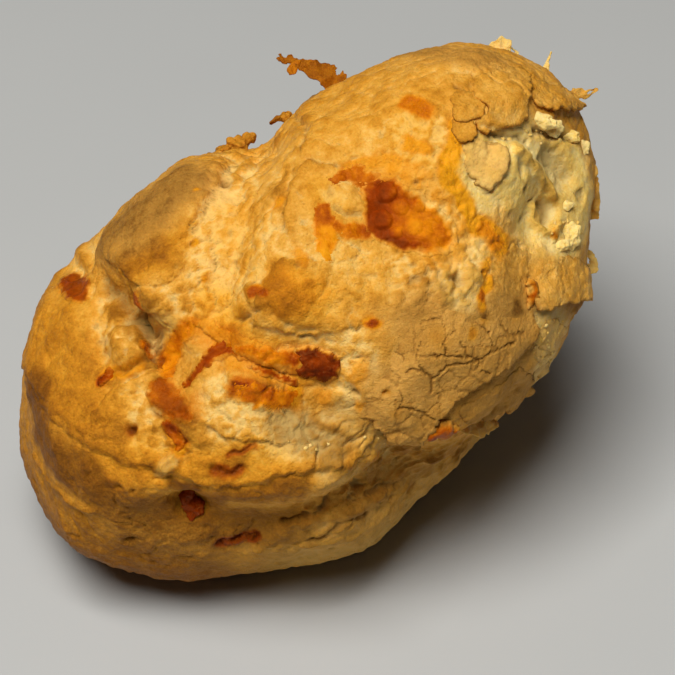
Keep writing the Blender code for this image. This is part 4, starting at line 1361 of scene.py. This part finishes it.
CRUST_SHEET = ((9.3, -0.3), (12.5, 2.5), (16.5, 2.8), (20.5, 1.8), (24.4, 2.3), (26.2, 0.4), (26.8, -2.0),
               (25.6, -3.6), (24.3, -4.5), (23.0, -5.8), (21.6, -6.8), (20.2, -7.8), (18.4, -8.9),
               (16.9, -9.6), (15.7, -11.2), (14.5, -12.2), (14.0, -13.4), (13.2, -13.9), (12.7, -15.4),
               (11.1, -15.6), (10.1, -14.6), (9.2, -14.8), (8.4, -13.9), (7.4, -13.2), (7.0, -12.2),
               (5.2, -11.9), (3.9, -11.5), (4.2, -9.6), (5.4, -7.2), (7.6, -4.6), (8.6, -2.4))
SHEET_HINGE = ((3.6, -11.4), (4.0, -8.6), (6.6, -4.9), (8.9, -0.8), (12.5, 2.6), (16.5, 2.9), (20.5, 1.9),
               (25.4, 2.6))
# place, how brown, reach
SHEET_SPOTS = (
    ((18.7, -1.8), 0.42, 0.75), ((20.4, 0.0), 0.34, 0.9), ((24.4, 0.9), 0.42, 1.1),
    ((8.7, -8.8), 0.40, 0.4), ((14.5, -2.3), 0.18, 1.5), ((9.6, -11.2), 0.16, 1.0),
)
# half width, path
SHEET_CRACKS = (
    (0.15, ((11.0, -6.2), (11.7, -5.8), (12.9, -6.2), (13.9, -7.1), (13.7, -8.5))),
    (0.11, ((13.9, -7.1), (15.0, -6.0), (16.2, -5.3), (17.3, -5.3))),
    (0.11, ((9.9, -10.7), (10.6, -10.4), (12.1, -10.7), (13.3, -11.2), (14.0, -11.8))),
    (0.09, ((9.3, -3.9), (10.1, -4.3), (10.9, -5.1))),
    (0.14, ((18.0, -0.5), (19.0, -0.6), (20.0, -1.3), (20.6, -1.9))),
    (0.16, ((21.9, 0.9), (22.2, -0.5), (22.9, -1.7), (23.7, -1.9), (25.0, -1.8))),
    (0.12, ((23.5, -2.9), (22.5, -3.3), (21.5, -3.7), (20.5, -4.1), (19.3, -4.7), (17.3, -5.4))),
    (0.13, ((17.1, -2.7), (17.7, -3.7), (17.9, -4.3), (19.1, -4.6), (19.4, -5.2))),
    (0.12, ((14.1, -4.3), (15.5, -4.3), (17.3, -4.3))),
    (0.10, ((12.8, -1.0), (13.7, -0.5), (14.9, -0.3))),
    (0.08, ((9.9, -8.4), (10.5, -9.3), (10.0, -10.5))),
    (0.08, ((19.6, -6.0), (20.8, -6.6))),
    (0.07, ((12.9, -6.2), (12.0, -4.6), (12.6, -3.0))),
    (0.07, ((15.5, -4.3), (15.2, -2.6), (16.4, -1.6))),
    (0.07, ((20.6, -1.9), (21.0, -3.0), (20.5, -4.1))),
)


def sheet_browning(ground, places):
    """How brown the cracked sheet is, and how toasted its spots are."""
    brown = 0.30 + 0.12 * ground.noise(BROAD, 3.5) + 0.10 * ground.noise(FINE, 1.2)
    toasted = np.zeros(brown.shape)
    for place, strength, reach in SHEET_SPOTS:
        spot = ground.onto(on_skin((place,))[0])
        near = bump(np.linalg.norm(ground.solid(places) - spot, axis=-1), reach)
        brown = brown + strength * near
        toasted = np.maximum(toasted, ramp(strength * near, 0.0, 0.35))
    return brown, toasted


def add_sheet(crust):
    """The cracked crust at the lower right, loose at its ragged lower edge."""
    ground = Ground(CRUST_SHEET, 1.0, 0.15)
    inside = ground.inside(0.38, 1.0) + 0.26 * ground.noise(FINE, 0.8)
    from_hinge = line_gap(ground.flat, ground.flat_path(SHEET_HINGE))
    free = ramp(from_hinge, 0.4, 6.0)
    lift = -0.30 + 1.25 * free + 0.12 * ground.noise(BROAD, 4.0) + 0.05 * ground.noise(FINE, 1.6)
    # Painted shadow along the loose ragged edge.
    painted_shade = 0.5 * ramp(-inside, -0.35, 0.0) * free
    jagged = ground.wavy(0.20, 0.7) + 0.10 * np.stack((ground.noise(FINE, 0.3), ground.noise(WARP, 0.3)),
                                                      axis=-1)
    for width, path in SHEET_CRACKS:
        gap = line_gap(jagged, ground.flat_path(path))
        lift = lift + 0.07 * bump(gap, 4.0 * width) - 0.28 * bump(gap, 1.2 * width)
        # Painted shade in each crack.
        painted_shade = np.maximum(painted_shade, 0.62 * bump(gap, 0.9 * width))
    thickness = 0.35 + 0.5 * ramp(inside, 0.8, 2.6) + 0.5 * (1.0 - free)
    first, second, value = (part.reshape(inside.shape)
                            for part in CELLS(ground.solid(jagged).reshape(-1, 3), 3.0))
    net = ramp(0.30 - (second - first), 0.0, 0.22) * (value > 0.62)
    lift = lift - 0.10 * net
    # Painted shade in the fine net of cracks.
    painted_shade = np.maximum(painted_shade, 0.35 * net)
    brown, toasted = sheet_browning(ground, jagged)
    brown = brown + 0.20 * (value - 0.5)
    colours = {"matte": 1.0 - 0.8 * toasted, "gold": toasted, "brown": brown, "painted_shade": painted_shade}
    sheet = ground.lay("crust_sheet", inside, lift, thickness, colours)
    finish_crust(sheet, crust)


def add_plates(crust):
    """The smaller plates of loose crust round the torn end, each lifting towards its free edge."""
    for name, (outline, rise, way, thickness, colours) in PLATES.items():
        ground = Ground(outline, 0.8, 0.16)
        inside = ground.inside(0.45, 1.5) + 0.16 * ground.noise(FINE, 0.8)
        far = ground.solid(ground.flat) @ unit(np.array((*way, 0.0)))
        low, high = far[inside > 0.0].min(), far[inside > 0.0].max()
        free = ramp(far, low, high)
        lift = 0.06 + rise * free ** 1.3 + 0.08 * ground.noise(BROAD, 3.0) + 0.05 * ground.noise(FINE, 1.1)
        # Painted shade round each plate's edge.
        colours = {"painted_shade": 0.5 * ramp(-inside, -0.3, 0.0), "crumb": 0.0, "cheese": 0.0, **colours}
        if "brown" in colours:
            colours["brown"] = colours["brown"] + 0.10 * ground.noise(BROAD, 2.0)
        plate = ground.lay(name, inside, lift, thickness * (0.6 + 0.4 * free), colours, borrow=True)
        finish_crust(plate, crust)


POOL = ((5.9, 15.9), (8.3, 16.3), (9.7, 16.1), (11.1, 15.1), (13.1, 14.1), (14.8, 12.9), (16.6, 11.2),
        (17.3, 9.4), (16.9, 7.8), (15.8, 7.0), (13.4, 6.9), (11.4, 7.1), (9.4, 7.8), (7.0, 8.9),
        (5.9, 10.9), (5.9, 13.4))
POOL_SCORCH = ((8.6, 15.4), (7.8, 12.8), (8.2, 10.2), (9.6, 8.6), (12.2, 7.8))
# place, radius, rise
POOL_BLISTERS = (
    ((8.7, 14.4), 1.30, 0.55), ((10.4, 12.6), 1.00, 0.30), ((8.2, 11.2), 1.25, 0.50),
    ((9.8, 9.6), 0.80, 0.25), ((12.0, 10.4), 1.10, 0.12), ((12.6, 12.8), 0.80, 0.14),
)
# The pool's three arms, which run out to its left
POOL_ARMS = {
    "pool_arm_up": dict(path=((2.7, 15.6), (3.8, 16.3), (5.4, 16.3), (7.0, 15.2), (8.4, 14.2)),
                        radii=(1.0, 1.3, 1.5, 1.7, 1.6), rise=(0.12, 0.16, 0.26), heat=(0.56, 0.46, 0.56),
                        lumps=(0.06, 0.9), ragged=0.5, soak=0.9),
    "pool_arm_down": dict(path=((1.6, 12.2), (1.7, 9.8), (1.8, 7.0)), radii=(1.4, 1.6, 1.4),
                          rise=(0.16, 0.18, 0.12), heat=(0.64, 0.30, 0.06), lumps=(0.06, 0.8), ragged=0.45,
                          soak=0.8),
    "pool_arm_side": dict(path=((2.0, 10.6), (4.2, 9.9), (6.4, 9.8)), radii=(1.5, 1.5, 1.4),
                          rise=(0.14, 0.18, 0.20), heat=(0.54, 0.36, 0.60), lumps=(0.06, 0.8), ragged=0.5,
                          soak=1.0),
}


def melts(table):
    """The melts that a table describes."""
    return [melt(name, **sizes) for name, sizes in table.items()]


def add_pool(cheese):
    """The big pool of burnt cheese, blistered at its left and clear orange at its right."""
    ground = Ground(POOL, 1.2, 0.16)
    inside = ground.inside(0.30, 1.3)
    round_edge = dome(1.0 - np.clip(inside / 1.6, 0.0, 1.0))
    lift = -0.12 + round_edge * (0.34 + 0.10 * ground.noise(BROAD, 2.4) + 0.05 * ground.noise(FINE, 0.8))
    # Blister tops are less scorched: a lighter orange, partly the cheese's own colour and partly a painted
    # highlight.
    blister_tone_and_highlight = np.zeros(inside.shape)
    for place, radius, rise in POOL_BLISTERS:
        gap = line_gap(ground.wavy(0.12, 0.9), ground.flat_path((place,)))
        blister = dome(gap / radius)
        lift = lift + rise * blister - 0.10 * bump(gap - radius, 0.18)
        blister_tone_and_highlight = np.maximum(blister_tone_and_highlight, blister)
    across = ground.solid(ground.flat)[..., 0]
    rim = 1.0 - ramp(inside, 0.3, 1.4)
    burnt = 1.0 - ramp(across, 8.0, 15.0)
    scorched = bump(line_gap(ground.flat, ground.flat_path(POOL_SCORCH)), 1.1)
    rim_heat = rim * (0.10 * burnt - 0.24 * (1.0 - burnt))
    heat = 0.38 + 0.20 * burnt - 0.10 * blister_tone_and_highlight + 0.30 * scorched + rim_heat
    heat = heat + 0.14 * ground.noise(BROAD, 1.6) + 0.08 * ground.noise(FINE, 0.7)
    soaked = ramp(inside + 0.3 * ground.noise(WARP, 0.9), 0.0, 0.7 + 0.6 * (1.0 - burnt))
    colours = {"cheese": soaked, "scorch": heat, "painted_shade": 0.0}
    pool = ground.lay("pool_melt", inside, lift, 0.4, colours, borrow=True, over=("cheese",))
    for piece in (pool, *melts(POOL_ARMS)):
        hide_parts("cheese_pool")
        finish_cheese(piece, cheese)


# The drawn-out strand: a loop down the left, a golden fold, a glossy rope and a burnt chunk at its end
STRAND = {
    "strand_loop": dict(path=((-14.0, -1.3), (-15.6, -2.9), (-16.6, -5.0), (-16.9, -7.4), (-15.8, -9.4)),
                        radii=(0.8, 1.2, 1.2, 1.1, 0.8), rise=(0.22, 0.26, 0.24, 0.20, 0.15),
                        heat=(0.30, 0.42, 0.30, 0.32, 0.50), lumps=(0.08, 1.2), ragged=0.6, soak=0.8),
    "strand_fold": dict(path=((-13.9, -0.6), (-12.2, -1.3), (-10.4, -2.3), (-8.6, -3.2), (-7.0, -4.0)),
                        radii=(0.6, 0.8, 0.9, 1.0, 0.9), rise=(0.25, 0.45, 0.6, 0.7),
                        heat=(0.34, 0.30, 0.36, 0.44), lumps=(0.10, 1.2), ragged=0.4, soak=1.3, clear=0.75),
    "strand_line": dict(path=((-15.0, -8.1), (-13.5, -6.7), (-12.2, -5.1), (-11.0, -3.9), (-9.6, -3.6),
                              (-7.8, -4.4)),
                        radii=(0.40, 0.55, 0.75, 1.0, 1.1, 0.8), rise=(0.20, 0.30, 0.45, 0.45),
                        heat=(0.76, 0.74, 0.72, 0.68, 0.56), lumps=(0.08, 0.8), ragged=0.4, soak=0.4),
    "strand_rope": dict(path=((-9.0, -3.6), (-6.8, -4.3), (-4.4, -5.0), (-1.8, -5.4)),
                        radii=(0.7, 1.0, 1.2, 1.3), rise=(0.6, 1.0, 1.1, 1.1),
                        heat=(0.46, 0.34, 0.34, 0.60), lumps=(0.22, 0.7), soak=0.7),
    "strand_under": dict(path=((-7.2, -5.8), (-4.6, -6.8), (-2.0, -7.6)), radii=(0.35, 0.6, 0.6),
                         rise=(0.20, 0.30, 0.30), heat=(0.55, 0.72, 0.78), lumps=(0.10, 0.7), ragged=0.4,
                         soak=0.4),
    "strand_chunk": dict(path=((-2.6, -4.2), (-0.6, -3.5), (1.2, -3.8), (3.0, -4.6), (3.4, -6.4),
                               (2.4, -7.7), (0.4, -7.5), (-1.9, -6.6)),
                         radii=(1.4,), rise=(0.9,), heat=(0.94,), lumps=(0.26, 0.8), ragged=0.2, soak=0.3,
                         closed=True),
}


def add_strand(cheese):
    """The drawn-out strand."""
    for piece in melts(STRAND):
        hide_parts("cheese_strand")
        finish_cheese(piece, cheese)


# The flat films among the smaller bits of cheese
FILM = dict(path=((-19.5, -9.4), (-19.0, -8.0), (-17.8, -7.2), (-16.5, -7.3), (-15.1, -8.7),
                  (-14.2, -10.4), (-13.5, -12.3), (-15.4, -12.7), (-17.2, -11.9), (-18.8, -10.8)),
            radii=(1.0,), rise=(0.30,), heat=(0.72,), lumps=(0.10, 1.6), soak=0.6, clear=0.78, closed=True)
PATCH = dict(path=((-9.1, -7.9), (-6.4, -7.7), (-3.4, -8.4), (-1.0, -8.5), (-1.8, -10.3), (-3.3, -11.3),
                   (-6.0, -11.0), (-8.4, -10.6)),
             radii=(1.0,), rise=(0.14,), heat=(0.44,), lumps=(0.05, 1.0), ragged=0.45, soak=0.9,
             closed=True)
ROUND = dict(path=((-31.0, 3.9), (-30.0, 5.2), (-28.4, 5.4), (-26.9, 4.6), (-26.7, 2.8), (-28.0, 1.8),
                   (-30.1, 2.2)),
             radii=(0.8,), rise=(0.25,), heat=(0.84,), lumps=(0.14, 0.9), ragged=0.25, soak=0.6, clear=0.94,
             closed=True)

# The specks, streaks and small lumps of cheese: path, half widths, rises, heats
SPOTS = {
    "spot_recess": (((-24.6, -7.6), (-24.1, -7.1)), (0.75,), (0.35,), (0.75,)),
    "spot_wedge": (((-16.3, -13.0), (-15.4, -14.3), (-15.6, -15.6)), (0.9, 0.9, 0.6), (0.35,),
                   (0.80, 0.55, 0.45)),
    "spot_hump": (((-19.9, -3.4), (-19.4, -4.1)), (0.75,), (0.30,), (0.50,)),
    "knob_brown": (((-20.0, 2.0), (-19.4, 1.0)), (0.8, 0.8), (0.16,), (0.66, 0.60)),
    "dot_crumb": (((28.9, 10.0), (29.2, 9.5)), (0.45,), (0.30,), (0.45,)),
    "bit_right": (((26.0, 3.9), (26.4, 2.8), (26.0, 1.2)), (0.75, 0.70, 0.25), (0.95, 0.80, 0.3),
                  (0.45, 0.55, 0.50)),
    "hollow_cheese": (((13.8, -13.6), (15.0, -13.4), (16.2, -13.6)), (1.1, 1.4, 1.1), (1.2,),
                      (0.60, 0.45, 0.50)),
    "spot_slit": (((-10.6, -27.3), (-8.6, -26.9), (-7.0, -26.6)), (0.45,), (0.20,), (0.85,)),
}


def add_cheese_spots(cheese):
    """The smaller specks, streaks and lumps of cheese."""
    pieces = [melt("film_amber", **FILM)]
    for name, sizes in SPOTS.items():
        pieces.append(melt(name, *sizes, lumps=(0.10, 0.7), ragged=0.45, soak=0.7))
    pieces += melts({"patch_orange": PATCH, "spot_round": ROUND})
    bulb = (sunk((-13.9, -22.7), 0.1), (1.8, 1.5, 1.4))
    neck = (sunk((-14.8, -21.1), 0.1), (1.0, 1.3, 1.0))
    chunk_colours = {"cheese": 1.1, "scorch": 0.84}
    pieces.append(nuggets("cheese_chunk", [bulb, neck], 3, chunk_colours, cells=18, flat=True))
    for piece in pieces:
        finish_cheese(piece, cheese)


def sunk(place, depth):
    """A point of the face's finished skin, a little way under its surface."""
    return on_skin((place,), FACE, SKIN_TREE)[0] - np.array((0.0, 0.0, depth))


# place, half size
NODULES = (
    ((-12.4, 19.6, 1.2), (1.3, 0.9, 1.2)), ((-11.0, 20.4, 1.2), (1.5, 1.0, 1.3)),
    ((-9.4, 21.4, 1.3), (1.4, 1.1, 1.3)), ((-8.0, 22.2, 1.2), (0.9, 0.8, 0.9)),
    ((-3.4, 24.9, 2.0), (0.8, 0.7, 0.7)),
)
# spine, half widths, the way they run, how burnt
CRISPS = {
    "crisp_spiky": (((-1.8, 24.0, 2.0), (-3.4, 24.8, 2.0), (-5.4, 24.2, 1.6)), (0.9, 0.7, 0.15),
                    (0.0, 1.0, 0.3), 0.55),
    "tuft": (((21.6, 32.4, 3.0), (23.0, 33.4, 3.0), (24.6, 33.6, 2.6)), (1.2, 1.3, 0.7), (0.1, 1.0, 0.2),
             0.05),
    "tuft_back": (((22.4, 32.0, 2.0), (24.2, 32.8, 1.6), (25.6, 32.6, 1.4)), (1.1, 1.0, 0.5),
                  (0.0, 1.0, -0.2), 0.05),
    "spike": (((28.6, 30.0, 4.0), (29.0, 31.4, 3.8), (29.5, 32.8, 3.6)), (0.5, 0.25, 0.08),
              (1.0, 0.0, 0.2), 0.05),
    "tip": (((31.4, 27.3, 6.0), (33.2, 27.4, 5.6), (35.2, 28.0, 5.2)), (0.8, 0.6, 0.12), (0.1, 1.0, 0.0),
            0.30),
    "film_edge": (((32.4, 20.6, 8.5), (33.9, 17.6, 7.0), (34.4, 14.6, 5.6), (34.6, 12.0, 4.6)),
                  (0.8, 1.1, 1.0, 0.6), (1.0, 0.0, 0.4), 0.25),
    "fuzz": (((33.4, 8.2, 4.0), (34.4, 7.0, 3.6), (34.6, 5.4, 3.2)), (0.7, 0.8, 0.5), (1.0, 0.1, 0.2), 0.1),
    "film_low": (((17.6, -13.0, 15.5), (19.6, -13.6, 13.0), (21.4, -13.4, 11.0), (22.4, -12.6, 9.0)),
                 (0.7, 1.0, 0.9, 0.5), (0.3, -1.0, 0.1), 0.25),
}


def add_curl(cheese):
    """The burnt curl at the top edge, with its small flap."""
    spine = ((3.4, 28.0, 1.6), (2.9, 29.3, 1.5), (1.3, 30.4, 1.4), (-0.8, 31.4, 1.2), (-2.8, 32.0, 1.0),
             (-4.4, 32.6, 0.8))
    colours = {"gold": 1.0, "brown": 0.84, "cheese": 0.15, "scorch": 0.6}
    curl = flake("curl_crisp", spine, (1.3, 1.6, 1.4, 0.9, 0.6, 0.3), (0.55, 0.8, -0.2), 0.45, colours,
                 ragged=0.6, curl=0.45, holes=0.18)
    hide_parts("cheese_curl")
    finish_cheese(curl, cheese)
    spine = ((-2.0, 31.9, 1.2), (-2.6, 31.0, 1.4), (-2.5, 30.2, 1.5))
    colours = {"gold": 1.0, "brown": 0.66, "cheese": 0.3, "scorch": 0.4}
    flap = flake("curl_flap", spine, (0.5, 0.7, 0.4), (1.0, 0.2, 0.0), 0.35, colours, ragged=0.4, curl=0.2)
    finish_cheese(flap, cheese)


def add_crisps(crust):
    """The brown nodules, thin crisps, tufts and hairs that stand off the loaf."""
    lump = nuggets("nodule_brown", NODULES, 8, {"brown": 0.62, "gold": 0.2}, cells=14, flat=True)
    finish_crust(lump, crust)
    for place, (name, (spine, widths, way, burnt)) in enumerate(CRISPS.items()):
        colours = {"brown": 0.25 + burnt, "crumb": max(0.0, 0.8 - 1.6 * burnt), "gold": burnt}
        piece = flake(name, spine, widths, way, 0.28, colours, ragged=0.45, curl=0.35, holes=0.2,
                      seed=7.0 * place)
        finish_crust(piece, crust)


# place, half size
CHUNKS = (
    ((27.4, 23.4), (2.2, 0.9, 0.6)), ((29.0, 22.6), (1.3, 1.0, 0.6)), ((31.0, 21.8), (1.5, 0.8, 0.6)),
    ((33.0, 20.4), (0.8, 1.0, 0.6)), ((31.0, 9.6), (1.5, 1.5, 0.7)), ((29.8, 8.4), (1.2, 0.7, 0.5)),
    ((14.9, -13.4), (0.7, 0.6, 0.9)), ((30.6, 13.4), (0.9, 0.7, 0.4)),
)
# middle, spread, count of the loose crumbs
CRUMB_BEDS = (
    ((27.6, 21.6), (4.5, 1.2), 20), ((30.8, 11.0), (2.0, 3.0), 14), ((0.8, -15.0), (2.4, 3.0), 5),
    ((28.6, -4.0), (1.6, 3.4), 24), ((6.0, -14.6), (4.0, 1.6), 4),
)


def add_crumbs(crust):
    """Torn lumps and loose crumbs in the rough places."""
    spots = [(sunk(place, 0.1), sizes) for place, sizes in CHUNKS]
    chunks = nuggets("crumb_chunks", spots, 21, {"crumb": 0.9, "brown": 0.25}, cells=16, flat=True)
    draw = np.random.default_rng(77)
    spots = []
    for middle, reach, count in CRUMB_BEDS:
        for place in draw.normal(middle, np.array(reach) / 2.0, (count, 2)):
            size = draw.uniform(0.10, 0.28)
            spots.append((sunk(place, 0.3 * size), size * draw.uniform(0.7, 1.3, 3)))
    crumbs = nuggets("crumbs", spots, 22, {"crumb": 0.7, "brown": 0.3}, cells=4)
    for piece in (chunks, crumbs):
        finish_crust(piece, crust)


# ---- floor, light and camera ----------------------------------------------------------------------

def add_floor():
    """A plain pale floor under the bun."""
    mesh = bpy.data.meshes.new("floor")
    corners = [(FLOOR_HALF * across, FLOOR_HALF * along, 0.0)
               for across, along in ((-1, -1), (1, -1), (1, 1), (-1, 1))]
    mesh.from_pydata(corners, [], [(0, 1, 2, 3)])
    floor = bpy.data.objects.new("floor", mesh)
    bpy.context.scene.collection.objects.link(floor)
    paint = Paint("floor_paint")
    shade = paint.colours(paint.noise(40.0, 2.0),
                          ((0.0, (0.45, 0.455, 0.445)), (1.0, (0.47, 0.475, 0.465))))
    paint.put(paint.shader, "Base Color", shade)
    paint.put(paint.shader, "Roughness", 0.55)
    mesh.materials.append(paint.material)


def add_light():
    """One broad soft light, high up on the camera's side and a little left, and weak light from all round."""
    lamp = bpy.data.lights.new("key", "AREA")
    lamp.shape = "SQUARE"
    lamp.size = LIGHT_SIZE
    lamp.energy = LIGHT_POWER
    lamp.color = LIGHT_COLOUR
    made = bpy.data.objects.new("key", lamp)
    made.location = LIGHT_PLACE
    made.rotation_euler = (Vector(LIGHT_AIM) - Vector(LIGHT_PLACE)).to_track_quat("-Z", "Y").to_euler()
    bpy.context.scene.collection.objects.link(made)
    world = bpy.data.worlds.new("studio")
    world.use_nodes = True
    world.node_tree.nodes["Background"].inputs["Color"].default_value = WHITE
    world.node_tree.nodes["Background"].inputs["Strength"].default_value = ROOM_LIGHT
    bpy.context.scene.world = world
    bpy.context.scene.view_settings.view_transform = "Standard"


def add_camera():
    """Looks square on to the loaf's middle plane, from forty degrees above the table."""
    data = bpy.data.cameras.new("camera")
    data.sensor_width = SENSOR
    data.lens = SENSOR * CAMERA_DISTANCE / VIEW_WIDTH
    data.clip_start = 0.01
    camera = bpy.data.objects.new("camera", data)
    place = to_world(np.array((VIEW_SHIFT[0], VIEW_SHIFT[1], CAMERA_DISTANCE)))
    turn = Matrix(AXES.tolist()).transposed()
    camera.matrix_world = Matrix.Translation(Vector(place)) @ turn.to_4x4()
    bpy.context.scene.collection.objects.link(camera)
    bpy.context.scene.camera = camera


add_camera()
add_light()
add_floor()

skin = Skin()
base_looks(skin)
dress(skin)
rough_skin(skin)
torn_crumb(skin)
bake(skin)
skin_points, skin_normals = settle(skin)
SKIN_TREE = BVHTree.FromPolygons([Vector(point) for point in skin_points.tolist()],
                                 [tuple(quad) for quad in skin.quads.tolist()])
crust = dough_paint()
cheese = cheese_paint()
add_skin(skin, skin_points, skin_normals, crust)
add_sheet(crust)
add_plates(crust)
add_pool(cheese)
add_strand(cheese)
add_cheese_spots(cheese)
add_curl(cheese)
add_crisps(crust)
add_crumbs(crust)
